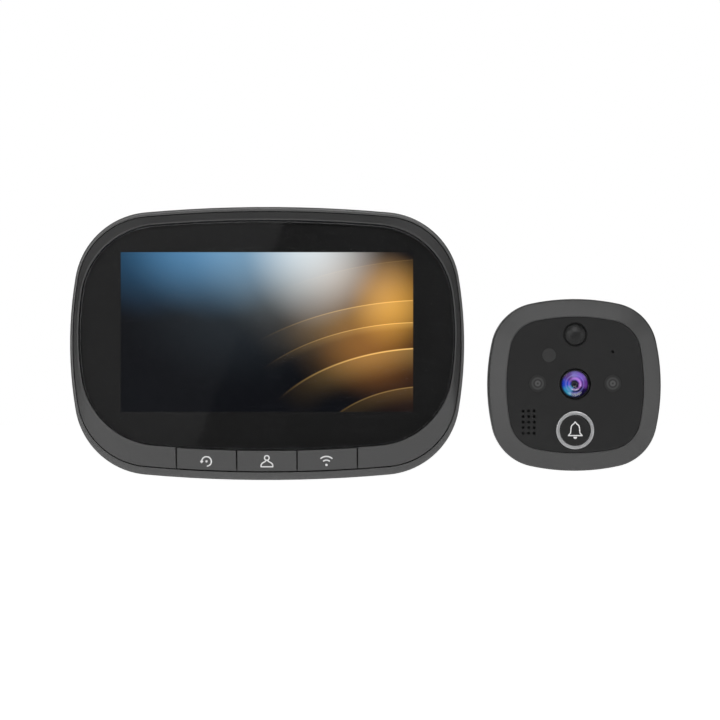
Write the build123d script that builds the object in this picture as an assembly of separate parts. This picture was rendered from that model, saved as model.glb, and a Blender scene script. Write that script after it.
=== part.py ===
from build123d import *

import math
import os
from dataclasses import dataclass

# A peephole door camera in two units: an indoor monitor on its door bracket, and the outdoor camera.
# Everything is drawn face on: x to the right, y up, z out of the door towards the viewer, and the
# door's surface at z = 0. Each finished piece is then stood up, so that it faces -Y with +Z up.
# The origin is the middle of the bracket's two screw slots, on the door's surface.

# Indoor monitor, from the picture outwards
picture_width = 95.0
picture_height = 51.9
border_side = 16.7
border_top = 14.85
border_bottom = 22.25
monitor_end_radius = 445.0
monitor_side_radius = 131.0
monitor_corner_radius = 25.3
window_margin_side = 3.0
window_margin_top = 4.4
window_margin_bottom = 9.75
window_end_radius = 443.0
window_side_radius = 96.5
window_corner_radius = 26.0

# Indoor monitor, heights above the door
rear_gap = 0.4
rear_wall = 1.8
taper_height = 7.6
rear_taper = 3.2
ring_height = 13.8
bezel_seat_height = 11.6
slope_start_height = 14.4
monitor_depth = 16.8
window_recess = 0.2
window_thickness = 1.4
mask_thickness = 0.1
case_wall = 2.4
rear_edge_radius = 2.2
ring_edge_radius = 0.8

# Ring and bezel
ring_side = 1.2
ring_top = 1.7
ring_bottom = 2.8
groove = 0.3
bezel_wall = 1.6
shelf_thickness = 1.2
lip_width = 0.35
window_gap = 0.12
window_edge_radius = 0.8
bezel_edge_radius = 0.5

# Display module
module_border = 2.5
module_thickness = 2.4
tray_wall = 0.5
tray_height = 2.4
tray_gap = 0.05
tray_opening_gap = 0.3

# Keys
key_pitch = 19.6
key_count = 3
key_gap = 0.5
key_travel = 0.5
key_floor_thickness = 1.3
key_lift = 0.6
key_edge_gap = 0.15
key_edge_radius = 0.25
key_wall = 1.0
stem_radius = 1.5
stem_gap = 0.2
lug_length = 4.4
lug_width = 1.2
lug_thickness = 0.3
stem_drop = 0.4

# Push switches
switch_width = 6.0
switch_height = 3.6
switch_thickness = 0.9
switch_base = 0.1
plunger_radius = 0.9
plunger_gap = 0.2
plunger_depth = 0.25

# Main circuit board
board_thickness = 1.0
board_top_height = 9.7
board_margin = 0.8
standoff_radius = 2.4
standoff_x = 42.0
standoff_y = 27.0
board_screw_radius = 0.85
board_screw_head_radius = 1.7
board_screw_head = 1.0
board_screw_length = 4.2
screw_clearance = 0.15
thread_clearance = 0.02

# Case screws
case_screw_x_margin = 3.5
case_screw_y = 19.0
case_boss_radius = 2.5
case_boss_meet_height = 9.0
case_screw_radius = 1.0
case_screw_head_radius = 1.9
case_screw_head = 1.4
case_screw_inset = 0.8
case_screw_tip_height = 12.4
recess_clearance = 0.3
boss_notch_gap = 0.6
drive_radius = 0.75
drive_depth = 0.8

# Door bracket
bracket_width = 62.0
bracket_height = 36.0
bracket_thickness = 1.2
bracket_corner_radius = 5.0
bracket_clearance = 0.4
cable_hole_radius = 4.8
cable_hole_drop = 8.5
door_screw_spacing = 11.0
door_slot_width = 3.4
door_slot_length = 5.0
hook_x = 24.0
hook_y = 12.0
hook_width = 8.0
hook_reach = 4.5
hook_corner_radius = 1.0
hook_clearance = 0.25
lift_travel = 5.0
slot_clearance = 0.3
pan_thickness = 1.8
pan_wall = 2.0
recess_corner_radius = 5.5

# Cable bay behind the bracket
bay_width = 28.0
bay_height = 20.0
bay_drop = 5.0
bay_depth = 5.3
bay_wall = 1.2
socket_width = 11.0
socket_height = 4.0
socket_length = 3.5
socket_wall = 0.7
socket_depth = 2.2
socket_rise = 2.0
socket_gap = 0.5

# Inside the monitor
battery_width = 70.0
battery_thickness = 4.8
battery_gap = 1.0
battery_corner_radius = 2.0
speaker_gap = 2.4
speaker_y = -2.0
speaker_frame_thickness = 2.2
speaker_magnet_share = 0.6
speaker_magnet_thickness = 1.6
grille_slot_width = 1.2
grille_pitch = 2.4
grille_count = 5
grille_length = 12.0
chip_size = 14.0
chip_thickness = 1.2
chip_x = -20.0
chip_rise = 4.5
radio_width = 18.0
radio_height = 13.0
radio_thickness = 1.8
radio_x = 24.0
radio_drop = 15.5
aerial_width = 30.0
aerial_height = 6.0
aerial_thickness = 0.3
aerial_gap = 0.8

# Side ports
usb_width = 8.9
usb_thickness = 3.2
usb_length = 7.3
usb_wall = 0.3
usb_tongue_width = 6.6
usb_tongue_thickness = 0.7
usb_tongue_short = 0.8
usb_y = 6.9
usb_inset = 0.8
port_gap = 0.25
card_width = 14.5
card_length = 14.0
card_thickness = 1.6
card_slot_width = 11.6
card_slot_thickness = 0.9
card_slot_depth = 12.0
card_y = -7.6
card_inset = 0.3
reset_radius = 0.6
reset_y = 13.6
power_width = 9.0
power_thickness = 3.4
power_length = 5.5
power_wall = 0.6
power_knob_width = 3.0
power_knob_thickness = 1.8
power_knob_stand = 0.1
power_travel = 2.5
power_gap = 0.2
power_depth = 2.0
power_inset = 0.4

# Outdoor camera, outlines
unit_gap = 7.8
camera_drop = 13.5
camera_width = 56.4
camera_height = 56.1
camera_end_radius = 68.0
camera_side_radius = 66.0
camera_corner_radius = 16.0
rim_width = 5.85
face_end_radius = 62.7
face_side_radius = 64.2
face_corner_radius = 10.8

# Outdoor camera, heights above the door
gasket_thickness = 0.8
cover_thickness = 1.8
camera_taper_height = 8.2
camera_taper = 0.2
camera_side_height = 12.1
camera_depth = 15.2
camera_cavity_height = 11.2
face_thickness = 1.7
face_recess = 0.1
camera_wall = 1.8
cover_inset = 2.4
cover_ledge = 0.6
cover_gap = 0.1
face_shelf = 0.85
face_lip = 0.4
face_gap = 0.1
camera_rim_radius = 1.2
camera_back_radius = 0.7

# Door seal and rear fixings of the camera
gasket_inset = 1.4
gasket_width = 2.6
insert_radius = 2.25
insert_hole_radius = 1.25
insert_length = 4.2
insert_wall = 1.15
grommet_drop = 4.8
grommet_radius = 2.6
grommet_hole_radius = 1.5
grommet_flange = 0.6
grommet_flange_thickness = 0.8
cover_screw_reach = 10.0
cover_boss_radius = 2.2
cover_boss_height = 9.0
cover_screw_radius = 0.9
cover_screw_head_radius = 1.7
cover_screw_head = 1.1
cover_screw_length = 5.0
cover_rib_width = 2.0

# Circuit board of the camera
camera_board_height = 6.0
camera_board_thickness = 1.2
camera_board_margin = 0.6
header_width = 9.0
header_height = 4.0
header_length = 2.2
header_y = -8.0

# Lens
lens_y = 0.3
lens_hole_radius = 5.1
lens_head_radius = 4.9
lens_glass_radius = 4.6
lens_glass_gap = 0.03
lens_glass_edge = 1.0
lens_glass_rise = 1.1
lens_seat_depth = 1.2
lens_head_height = 3.6
lens_thread_radius = 3.5
lens_thread_length = 2.6
lens_bore_radius = 1.7
lens_back_drop = 0.9
holder_size = 11.0
holder_base = 1.6
holder_tower_radius = 5.0
holder_wall_gap = 0.05
sensor_size = 7.5
sensor_thickness = 0.8
sensor_gap = 0.3

# Motion sensor, lamps and light sensor behind the face
pir_y = 16.4
pir_radius = 3.9
pir_rise = 1.1
pir_wall = 0.6
pir_can_radius = 2.6
pir_can_height = 4.2
flange_width = 0.65
flange_thickness = 0.7
fit_gap = 0.05
lamp_x = 12.2
lamp_y = 0.5
lamp_window_radius = 2.85
lamp_radius = 1.5
lamp_collar = 0.4
lamp_height = 3.9
light_x = -8.5
light_y = 9.7
light_window_radius = 2.25
mic_x = 12.2
mic_y = 10.8
mic_hole_radius = 0.45
mic_radius = 2.0
mic_length = 1.8

# Loudspeaker of the camera
sound_shift = 1.15
sound_y = -12.05
sound_pitch = 1.8
sound_columns = 3
sound_rows = 5
sound_hole_radius = 0.5
sounder_y = -11.5
sounder_gap = 2.3
sounder_frame = 1.6
sounder_magnet_share = 0.64
sounder_magnet = 1.6

# Doorbell button
bell_y = -14.75
bell_ring_radius = 6.15
bell_ring_inner_radius = 5.1
bell_ring_stand = 0.2
bell_flange = 0.3
bell_flange_thickness = 1.2
bell_cap_gap = 0.1
bell_cap_recess = 0.1
bell_cap_flange = 0.9
bell_cap_flange_thickness = 0.9
bell_travel = 0.6
bell_switch_width = 6.0
bell_switch_slack = 0.2
bell_cap_edge = 0.2

# One overrun serves every cut
overrun = 1.0


@dataclass(frozen=True)
class Outline:
    """A closed outline of eight tangent arcs: two ends, two sides and four corners."""

    width: float
    height: float
    end_radius: float
    side_radius: float
    corner_radius: float
    x: float = 0.0
    y: float = 0.0

    def corner(self):
        """Centre of the upper right corner's arc, measured from the outline's middle."""
        end_y = self.height / 2 - self.end_radius
        side_x = self.width / 2 - self.side_radius
        apart = math.hypot(side_x, end_y)
        end_reach = self.end_radius - self.corner_radius
        side_reach = self.side_radius - self.corner_radius
        along = (end_reach**2 - side_reach**2 + apart**2) / (2 * apart)
        across = math.sqrt(end_reach**2 - along**2)
        unit_x, unit_y = side_x / apart, -end_y / apart
        return unit_x * along + unit_y * across, end_y + unit_y * along - unit_x * across

    def top_at(self, x, inset=0.0):
        """Height of the upper end arc over a place, for the outline taken in by inset."""
        radius = self.end_radius - inset
        return self.y + self.height / 2 - self.end_radius + math.sqrt(radius**2 - x**2)

    def side_at(self, y, inset=0.0):
        """Reach of the right side arc at a height, for the outline taken in by inset."""
        radius = self.side_radius - inset
        return self.x + self.width / 2 - self.side_radius + math.sqrt(radius**2 - y**2)

    def face(self, inset=0.0):
        """The flat face inside the outline, taken in all round by inset."""
        corner_x, corner_y = self.corner()
        end_y = self.height / 2 - self.end_radius
        side_x = self.width / 2 - self.side_radius
        steep = math.degrees(math.atan2(corner_y - end_y, corner_x))
        shallow = math.degrees(math.atan2(corner_y, corner_x - side_x))
        end = self.end_radius - inset
        side = self.side_radius - inset
        corner = self.corner_radius - inset
        turn = steep - shallow
        arcs = [
            CenterArc((side_x, 0), side, -shallow, 2 * shallow),
            CenterArc((corner_x, corner_y), corner, shallow, turn),
            CenterArc((0, end_y), end, steep, 180 - 2 * steep),
            CenterArc((-corner_x, corner_y), corner, 180 - steep, turn),
            CenterArc((-side_x, 0), side, 180 - shallow, 2 * shallow),
            CenterArc((-corner_x, -corner_y), corner, 180 + shallow, turn),
            CenterArc((0, -end_y), end, 180 + steep, 180 - 2 * steep),
            CenterArc((corner_x, -corner_y), corner, 360 - steep, turn),
        ]
        return Pos(self.x, self.y) * Face(Wire(arcs))


def plate(face, low, high):
    """A face carried straight up from one height to another."""
    return extrude(Pos(0, 0, low) * face, amount=high - low)


def tapered(low_face, low, high_face, high):
    """Straight walls from one face up to another of the same kind."""
    return loft([Pos(0, 0, low) * low_face, Pos(0, 0, high) * high_face], ruled=True)


def rod(x, y, radius, low, high):
    """A round bar standing on the door's plane."""
    return Pos(x, y, (low + high) / 2) * Cylinder(radius, high - low)


def block(x, y, width, height, low, high):
    """A square-cornered block."""
    return Pos(x, y, (low + high) / 2) * Box(width, height, high - low)


def soft_block(x, y, width, height, radius, low, high):
    """A block whose upright edges are rounded."""
    return plate(Pos(x, y) * RectangleRounded(width, height, radius), low, high)


def tube(x, y, outer, inner, low, high):
    """A round sleeve."""
    return rod(x, y, outer, low, high) - rod(x, y, inner, low - overrun, high + overrun)


def dome(x, y, radius, base, rise):
    """A spherical cap standing on a height."""
    ball = (radius**2 + rise**2) / (2 * rise)
    cap = Pos(x, y, base + rise - ball) * Sphere(ball)
    return cap & rod(x, y, radius, base, base + rise)


def mirrored(x, y):
    """The four places at plus and minus x and y."""
    return [(side * x, end * y) for side in (-1, 1) for end in (-1, 1)]


def rim_edges(solid, height):
    """The edges that lie wholly at one height."""
    return solid.edges().filter_by_position(Axis.Z, height, height)


# Sizes that follow from the driving ones: monitor
monitor_width = picture_width + 2 * border_side
monitor_height = picture_height + border_top + border_bottom
picture_y = (border_bottom - border_top) / 2
window_width = monitor_width - 2 * window_margin_side
window_height = monitor_height - window_margin_top - window_margin_bottom
window_y = (window_margin_bottom - window_margin_top) / 2
bezel_width = monitor_width - 2 * ring_side
bezel_height = monitor_height - ring_top - ring_bottom
bezel_y = (ring_bottom - ring_top) / 2

case_outline = Outline(
    monitor_width, monitor_height, monitor_end_radius, monitor_side_radius, monitor_corner_radius
)
bezel_outline = Outline(
    bezel_width,
    bezel_height,
    monitor_end_radius - ring_top,
    monitor_side_radius - ring_side,
    monitor_corner_radius - ring_side,
    y=bezel_y,
)
window_outline = Outline(
    window_width,
    window_height,
    window_end_radius,
    window_side_radius,
    window_corner_radius,
    y=window_y,
)

floor_height = rear_gap + rear_wall
belt_height = rear_gap + taper_height
window_front = monitor_depth - window_recess
mask_front = window_front - window_thickness
module_front = mask_front - mask_thickness
module_back = module_front - module_thickness
module_width = picture_width + 2 * module_border
module_height = picture_height + 2 * module_border
tray_width = module_width + 2 * (tray_gap + tray_wall)
tray_outer_height = module_height + 2 * (tray_gap + tray_wall)
shelf_low = module_front - shelf_thickness
key_floor = bezel_seat_height + key_floor_thickness
key_underside = key_floor + key_lift
key_low_y = bezel_y - bezel_height / 2
key_high_y = window_y - window_height / 2
key_y = (key_low_y + key_high_y) / 2
key_field = key_count * key_pitch
key_places = [(index - (key_count - 1) / 2) * key_pitch for index in range(key_count)]
stem_tip = bezel_seat_height - stem_drop
switch_top = board_top_height + switch_thickness
board_low = board_top_height - board_thickness
case_screw_x = tray_width / 2 + case_screw_x_margin
recess_floor = bracket_thickness + bracket_clearance
recess_width = bracket_width + 2 * slot_clearance
recess_high = bracket_height / 2 + slot_clearance
recess_low = -bracket_height / 2 - lift_travel - slot_clearance
recess_height = recess_high - recess_low
recess_y = (recess_high + recess_low) / 2
pan_top = recess_floor + pan_thickness
bay_floor = recess_floor + bay_depth
bay_y = -bay_drop
battery_low = recess_high + pan_wall + battery_gap
battery_high = case_outline.top_at(battery_width / 2, rear_taper + case_wall) - battery_gap
pan_side = recess_width / 2 + pan_wall
speaker_room = case_outline.side_at(speaker_y, rear_taper + case_wall) - pan_side
speaker_radius = speaker_room / 2 - speaker_gap
speaker_x = -(pan_side + speaker_room / 2)
chip_y = picture_y + chip_rise
radio_y = picture_y - radio_drop
aerial_x = case_outline.corner()[0] - aerial_width / 2
aerial_low = -case_outline.top_at(aerial_x + aerial_width / 2, rear_taper + case_wall)
aerial_y = aerial_low + aerial_gap + aerial_height / 2

# Sizes that follow from the driving ones: camera
camera_x = monitor_width / 2 + unit_gap + camera_width / 2
camera_y = -camera_drop
camera_outline = Outline(
    camera_width, camera_height, camera_end_radius, camera_side_radius, camera_corner_radius
)
face_outline = Outline(
    camera_width - 2 * rim_width,
    camera_height - 2 * rim_width,
    face_end_radius,
    face_side_radius,
    face_corner_radius,
)
cover_top = gasket_thickness + cover_thickness
face_front = camera_depth - face_recess
face_back = face_front - face_thickness
camera_board_top = camera_board_height + camera_board_thickness
camera_corner_x, camera_corner_y = camera_outline.corner()
cover_screw_x = camera_corner_x + cover_screw_reach * math.sqrt(0.5)
cover_screw_y = camera_corner_y + cover_screw_reach * math.sqrt(0.5)
bell_reach = bell_ring_radius + bell_flange
sounder_room = camera_width / 2 - rim_width - face_shelf - bell_reach
sounder_radius = sounder_room / 2 - sounder_gap
sounder_x = -(bell_reach + sounder_room / 2)
sound_x = sounder_x - sound_shift
bell_flange_low = face_back - bell_flange_thickness
bell_cap_low = bell_flange_low - bell_cap_flange_thickness
lens_front = face_front - lens_glass_rise / 2


def bracket_hooks():
    """The four hooks bent out of the bracket: a leg out of the plate, then an upright."""
    upright_low = pan_top + hook_clearance
    upright_high = upright_low + bracket_thickness
    hooks = []
    for x, y in mirrored(hook_x, hook_y):
        leg = block(x, y - bracket_thickness / 2, hook_width, bracket_thickness, 0, upright_high)
        upright_y = y + (hook_reach - bracket_thickness) / 2
        upright_height = hook_reach + bracket_thickness
        upright = block(x, upright_y, hook_width, upright_height, upright_low, upright_high)
        tips = upright.edges().filter_by(Axis.Z).sort_by(Axis.Y)[-2:]
        hooks.append(leg + fillet(tips, hook_corner_radius))
    return hooks


def door_bracket():
    """Pressed steel plate that the two long screws clamp to the inside of the door."""
    body = soft_block(0, 0, bracket_width, bracket_height, bracket_corner_radius, 0, bracket_thickness)
    body -= rod(0, -cable_hole_drop, cable_hole_radius, -overrun, bracket_thickness + overrun)
    slot = SlotOverall(door_slot_length, door_slot_width)
    for x in (-door_screw_spacing / 2, door_screw_spacing / 2):
        body -= plate(Pos(x, 0) * slot, -overrun, bracket_thickness + overrun)
    for x, y in mirrored(hook_x, hook_y):
        lance_width = hook_width + 2 * hook_clearance
        lance = block(
            x, y + hook_reach / 2, lance_width, hook_reach, -overrun, bracket_thickness + overrun
        )
        body -= lance
    for hook in bracket_hooks():
        body += hook
    return body


def case_shell():
    """The outside of the rear housing as one solid."""
    body = tapered(case_outline.face(rear_taper), rear_gap, case_outline.face(), belt_height)
    body += plate(case_outline.face(), belt_height, ring_height)
    body = fillet(rim_edges(body, rear_gap), rear_edge_radius)
    return fillet(rim_edges(body, ring_height), ring_edge_radius)


def wall_inset(height):
    """How far the inside of the case wall stands in from the outline at a height."""
    below = max(belt_height - height, 0)
    return case_wall + rear_taper * below / taper_height


def speaker_grille(low, high):
    """A round patch of upright slots."""
    slots = []
    for index in range(grille_count):
        offset = (index - (grille_count - 1) / 2) * grille_pitch
        half = math.sqrt((grille_length / 2) ** 2 - offset**2 / 2)
        slot = Pos(speaker_x + offset, speaker_y) * Rot(0, 0, 90)
        slots.append(plate(slot * SlotOverall(2 * half, grille_slot_width), low, high))
    return slots


def side_cut(side, y, width, low, high):
    """A square cut through one side wall of the case."""
    depth = case_wall + rear_taper
    return block(side * (monitor_width - depth) / 2, y, depth + 2 * overrun, width, low, high)


def rear_housing():
    """The back shell of the monitor, whose front edge shows as a ring round the bezel."""
    shell = case_shell()
    cavity = tapered(
        case_outline.face(rear_taper + case_wall), floor_height, case_outline.face(case_wall), belt_height
    )
    cavity += plate(case_outline.face(case_wall), belt_height, bezel_seat_height)
    body = shell - cavity
    body -= plate(bezel_outline.face(-groove), bezel_seat_height, ring_height + overrun)

    pan_width = recess_width + 2 * pan_wall
    pan_height = recess_height + 2 * pan_wall
    pan = soft_block(
        0, recess_y, pan_width, pan_height, recess_corner_radius, floor_height, pan_top
    )
    bay = block(
        0, bay_y, bay_width + 2 * bay_wall, bay_height + 2 * bay_wall, floor_height, bay_floor + bay_wall
    )
    body += pan
    body += bay
    for x, y in mirrored(case_screw_x, case_screw_y):
        body += rod(x, y, case_boss_radius, floor_height, case_boss_meet_height)
    for x, y in mirrored(standoff_x, standoff_y):
        body += rod(x, y, standoff_radius, floor_height, board_low)

    recess = RectangleRounded(recess_width, recess_height, bracket_corner_radius)
    body -= plate(Pos(0, recess_y) * recess, rear_gap - overrun, recess_floor)
    body -= block(0, bay_y, bay_width, bay_height, rear_gap, bay_floor)
    socket_hole_width = socket_width + 2 * socket_gap
    socket_hole_height = socket_height + 2 * socket_gap
    body -= block(
        0, socket_rise, socket_hole_width, socket_hole_height, bay_floor - overrun, bay_floor + 2 * bay_wall
    )
    slot_height = bracket_thickness + lift_travel + slot_clearance
    for x, y in mirrored(hook_x, hook_y):
        slot_width = hook_width + 2 * slot_clearance
        body -= block(x, y - slot_height / 2, slot_width, slot_height, rear_gap, pan_top + overrun)
    for x, y in mirrored(case_screw_x, case_screw_y):
        seat = rear_gap + case_screw_inset + case_screw_head
        body -= rod(x, y, case_screw_head_radius + recess_clearance, rear_gap - overrun, seat)
        shank = case_screw_radius + screw_clearance
        body -= rod(x, y, shank, rear_gap, case_boss_meet_height + overrun)
    for x, y in mirrored(standoff_x, standoff_y):
        pilot = board_screw_radius + thread_clearance
        body -= rod(x, y, pilot, board_low - board_screw_length, board_low + overrun)
    for slot in speaker_grille(rear_gap - overrun, floor_height + overrun):
        body -= slot
    body -= side_cut(
        -1, usb_y, usb_width + 2 * port_gap, board_low - usb_thickness - port_gap, board_low
    )
    card_mid = board_low - card_thickness / 2
    card_half = card_slot_thickness / 2 + port_gap
    body -= side_cut(-1, card_y, card_slot_width + 2 * port_gap, card_mid - card_half, card_mid + card_half)
    power_mid = board_low - power_thickness / 2
    knob_half = power_knob_thickness / 2 + power_gap
    power_opening = power_knob_width + power_travel + 2 * power_gap
    body -= side_cut(1, 0, power_opening, power_mid - knob_half, power_mid + knob_half)
    pin = Pos(-monitor_width / 2, reset_y, board_low - card_thickness)
    body -= pin * Rot(0, 90, 0) * Cylinder(reset_radius, 2 * (case_wall + rear_taper))
    return body


def bezel_shell():
    """The outside of the front bezel, before the window pocket and the key bay are cut."""
    body = plate(bezel_outline.face(), bezel_seat_height, slope_start_height)
    body += tapered(
        bezel_outline.face(), slope_start_height, window_outline.face(-lip_width), monitor_depth
    )
    return fillet(rim_edges(body, slope_start_height), bezel_edge_radius)


def key_zone(x, width, low, high, gap):
    """The strip between the window and the bezel's lower edge, cut to one width."""
    height = key_high_y - key_low_y + window_corner_radius
    strip = block(x, key_high_y + window_corner_radius - height / 2, width, height, low, high)
    strip -= plate(window_outline.face(-gap), low - overrun, high + overrun)
    return strip


def front_bezel():
    """The frame that holds the window, with a bay along its lower edge for the keys."""
    shell = bezel_shell()
    hollow = plate(bezel_outline.face(bezel_wall), bezel_seat_height - overrun, shelf_low)
    bay_height = key_high_y - key_low_y + key_wall
    sill = block(
        0,
        key_low_y + bay_height / 2,
        key_field + 2 * key_wall + key_gap,
        bay_height,
        bezel_seat_height,
        module_front,
    )
    body = shell - hollow
    body += sill & shell
    for x, y in mirrored(case_screw_x, case_screw_y):
        body += rod(x, y, case_boss_radius, case_boss_meet_height, shelf_low)
        pilot = case_screw_radius + thread_clearance
        body -= rod(x, y, pilot, case_boss_meet_height - overrun, case_screw_tip_height)
    body -= plate(window_outline.face(), module_front, monitor_depth + overrun)
    opening_width = tray_width + 2 * tray_opening_gap
    opening_height = tray_outer_height + 2 * tray_opening_gap
    body -= block(
        0, picture_y, opening_width, opening_height, bezel_seat_height - overrun, monitor_depth
    )
    body -= key_zone(0, key_field + key_gap, key_floor, monitor_depth + overrun, 0)
    for x in key_places:
        body -= rod(
            x, key_y, stem_radius + stem_gap, bezel_seat_height - overrun, key_floor + overrun
        )
    return body


def front_key(x):
    """One front key: a cap that continues the bezel's slope, its stem and two snap lugs."""
    cap = key_zone(x, key_pitch - key_gap, key_underside, monitor_depth + overrun, key_edge_gap)
    cap &= bezel_shell()
    cap -= plate(case_outline.face(), key_underside - overrun, monitor_depth) - plate(
        bezel_outline.face(key_edge_gap), key_underside - 2 * overrun, monitor_depth + overrun
    )
    stem = rod(x, key_y, stem_radius, stem_tip, key_underside)
    lugs = block(x, key_y, lug_length, lug_width, stem_tip, stem_tip + lug_thickness)
    return cap + stem + lugs


def push_switch(x, y, width, height, low, high):
    """Body of a push switch, with the well that its plunger works in."""
    body = block(x, y, width, height, low, high)
    well = plunger_radius + plunger_gap
    return body - rod(x, y, well, low + switch_base, high + overrun)


def key_switches():
    """The three push switches on the main board."""
    return [
        push_switch(x, key_y, switch_width, switch_height, board_top_height, switch_top)
        for x in key_places
    ]


def key_plunger(x):
    """The moving stud of a key's push switch."""
    return rod(x, key_y, plunger_radius, switch_top - plunger_depth, stem_tip)


def screen_window():
    """Clear plate over the whole front of the monitor."""
    body = plate(window_outline.face(window_gap), mask_front, window_front)
    return fillet(rim_edges(body, window_front), window_edge_radius)


def screen_mask():
    """Black printed film behind the window, open over the picture."""
    body = plate(window_outline.face(window_gap), module_front, mask_front)
    return body - block(0, picture_y, picture_width, picture_height, module_front, mask_front + overrun)


def lcd_module():
    """The display itself, bonded to the back of the window."""
    return block(0, picture_y, module_width, module_height, module_back, module_front)


def backlight_tray():
    """Folded metal tray that holds the display and its backlight."""
    low = module_back - tray_wall
    body = block(0, picture_y, tray_width, tray_outer_height, low, low + tray_height)
    well_width = module_width + 2 * tray_gap
    well_height = module_height + 2 * tray_gap
    return body - block(0, picture_y, well_width, well_height, module_back, module_front + overrun)


def main_board():
    """Circuit board across the whole case, notched round the case screws."""
    body = plate(case_outline.face(case_wall + board_margin), board_low, board_top_height)
    for x, y in mirrored(case_screw_x, case_screw_y):
        notch = case_boss_radius + boss_notch_gap
        body -= rod(x, y, notch, board_low - overrun, board_top_height + overrun)
    for x, y in mirrored(standoff_x, standoff_y):
        hole = board_screw_radius + screw_clearance
        body -= rod(x, y, hole, board_low - overrun, board_top_height + overrun)
    return body


def countersink(x, y, top):
    """The drive recess in the head of a screw whose head ends at a height."""
    return rod(x, y, drive_radius, top - drive_depth, top + overrun)


def board_screws():
    """Four screws that hold the main board to its posts."""
    screws = []
    for x, y in mirrored(standoff_x, standoff_y):
        top = board_top_height + board_screw_head
        head = rod(x, y, board_screw_head_radius, board_top_height, top)
        shank = rod(x, y, board_screw_radius, board_low - board_screw_length + thread_clearance, top)
        screws.append(head + shank - countersink(x, y, top))
    return screws


def case_screws():
    """Four screws that pull the rear housing against the bezel, driven from the back."""
    screws = []
    for x, y in mirrored(case_screw_x, case_screw_y):
        low = rear_gap + case_screw_inset
        head = rod(x, y, case_screw_head_radius, low, low + case_screw_head)
        shank = rod(x, y, case_screw_radius, low, case_screw_tip_height - thread_clearance)
        drive = rod(x, y, drive_radius, low - overrun, low + drive_depth)
        screws.append(head + shank - drive)
    return screws


def battery_pack():
    """Flat rechargeable cell along the top of the case."""
    return soft_block(
        0,
        (battery_high + battery_low) / 2,
        battery_width,
        battery_high - battery_low,
        battery_corner_radius,
        floor_height,
        floor_height + battery_thickness,
    )


def round_speaker(x, y, radius, frame, magnet_radius, magnet, base, way):
    """A small loudspeaker: its frame on a surface, and the magnet on the frame's far side."""
    step = base + way * frame
    end = step + way * magnet
    body = rod(x, y, radius, min(base, step), max(base, step))
    return body + rod(x, y, magnet_radius, min(step, end), max(step, end))


def monitor_speaker():
    """Loudspeaker over the slots in the back of the case."""
    return round_speaker(
        speaker_x,
        speaker_y,
        speaker_radius,
        speaker_frame_thickness,
        speaker_radius * speaker_magnet_share,
        speaker_magnet_thickness,
        floor_height,
        1,
    )


def cable_socket():
    """Socket under the main board for the lead from the outdoor camera."""
    low = board_low - socket_length
    body = block(0, socket_rise, socket_width, socket_height, low, board_low)
    mouth_width = socket_width - 2 * socket_wall
    mouth_height = socket_height - 2 * socket_wall
    return body - block(0, socket_rise, mouth_width, mouth_height, low - overrun, low + socket_depth)


def usb_socket():
    """Charging socket under the left edge of the main board."""
    mouth = -monitor_width / 2 + usb_inset
    x = mouth + usb_length / 2
    mid = board_low - usb_thickness / 2
    turned = Pos(x, usb_y, mid) * Rot(0, 90, 0)
    radius = usb_thickness / 2 - usb_wall
    outer = turned * extrude(SlotOverall(usb_width, usb_thickness, rotation=90), usb_length / 2, both=True)
    inner_width = usb_width - 2 * usb_wall
    inner = Pos(-usb_wall, 0, 0) * turned * extrude(
        SlotOverall(inner_width, 2 * radius, rotation=90), usb_length / 2, both=True
    )
    tongue_length = usb_length - usb_tongue_short
    tongue_x = mouth + usb_tongue_short + tongue_length / 2
    tongue_half = usb_tongue_thickness / 2
    tongue = block(
        tongue_x, usb_y, tongue_length, usb_tongue_width, mid - tongue_half, mid + tongue_half
    )
    return outer - inner + tongue


def card_socket():
    """Memory card socket under the left edge of the main board."""
    low = board_low - card_thickness
    furthest = abs(card_y) + card_width / 2
    mouth = -case_outline.side_at(furthest, wall_inset(low)) + card_inset
    body = block(mouth + card_length / 2, card_y, card_length, card_width, low, board_low)
    mid = board_low - card_thickness / 2
    half = card_slot_thickness / 2
    slot = block(
        mouth + (card_slot_depth - overrun) / 2,
        card_y,
        card_slot_depth + overrun,
        card_slot_width,
        mid - half,
        mid + half,
    )
    return body - slot


def power_mouth():
    """How far to the right the slide switch's body reaches, just inside the case wall."""
    low = board_low - power_thickness
    return case_outline.side_at(power_width / 2, wall_inset(low)) - power_inset


def power_switch():
    """Body of the slide switch under the right edge of the main board."""
    mouth = power_mouth()
    low = board_low - power_thickness
    mid = (low + board_low) / 2
    body = block(mouth - power_length / 2, 0, power_length, power_width, low, board_low)
    well_width = power_knob_width + power_travel + 2 * power_gap
    well_half = power_knob_thickness / 2 + power_gap
    depth = power_depth + power_gap
    well = block(
        mouth - (depth - overrun) / 2, 0, depth + overrun, well_width, mid - well_half, mid + well_half
    )
    return body - well


def power_slider():
    """The slide switch's knob, at the lower end of its travel."""
    low = power_mouth() - power_depth
    high = monitor_width / 2 + power_knob_stand
    mid = board_low - power_thickness / 2
    half = power_knob_thickness / 2
    return block(
        (low + high) / 2, -power_travel / 2, high - low, power_knob_width, mid - half, mid + half
    )


def processor_chip():
    """Main processor on the front of the board."""
    return block(chip_x, chip_y, chip_size, chip_size, board_top_height, board_top_height + chip_thickness)


def radio_module():
    """Wireless module in its screening can, on the front of the board."""
    return block(
        radio_x,
        radio_y,
        radio_width,
        radio_height,
        board_top_height,
        board_top_height + radio_thickness,
    )


def wireless_aerial():
    """Flexible aerial stuck inside the back wall."""
    return block(
        aerial_x, aerial_y, aerial_width, aerial_height, floor_height, floor_height + aerial_thickness
    )


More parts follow.
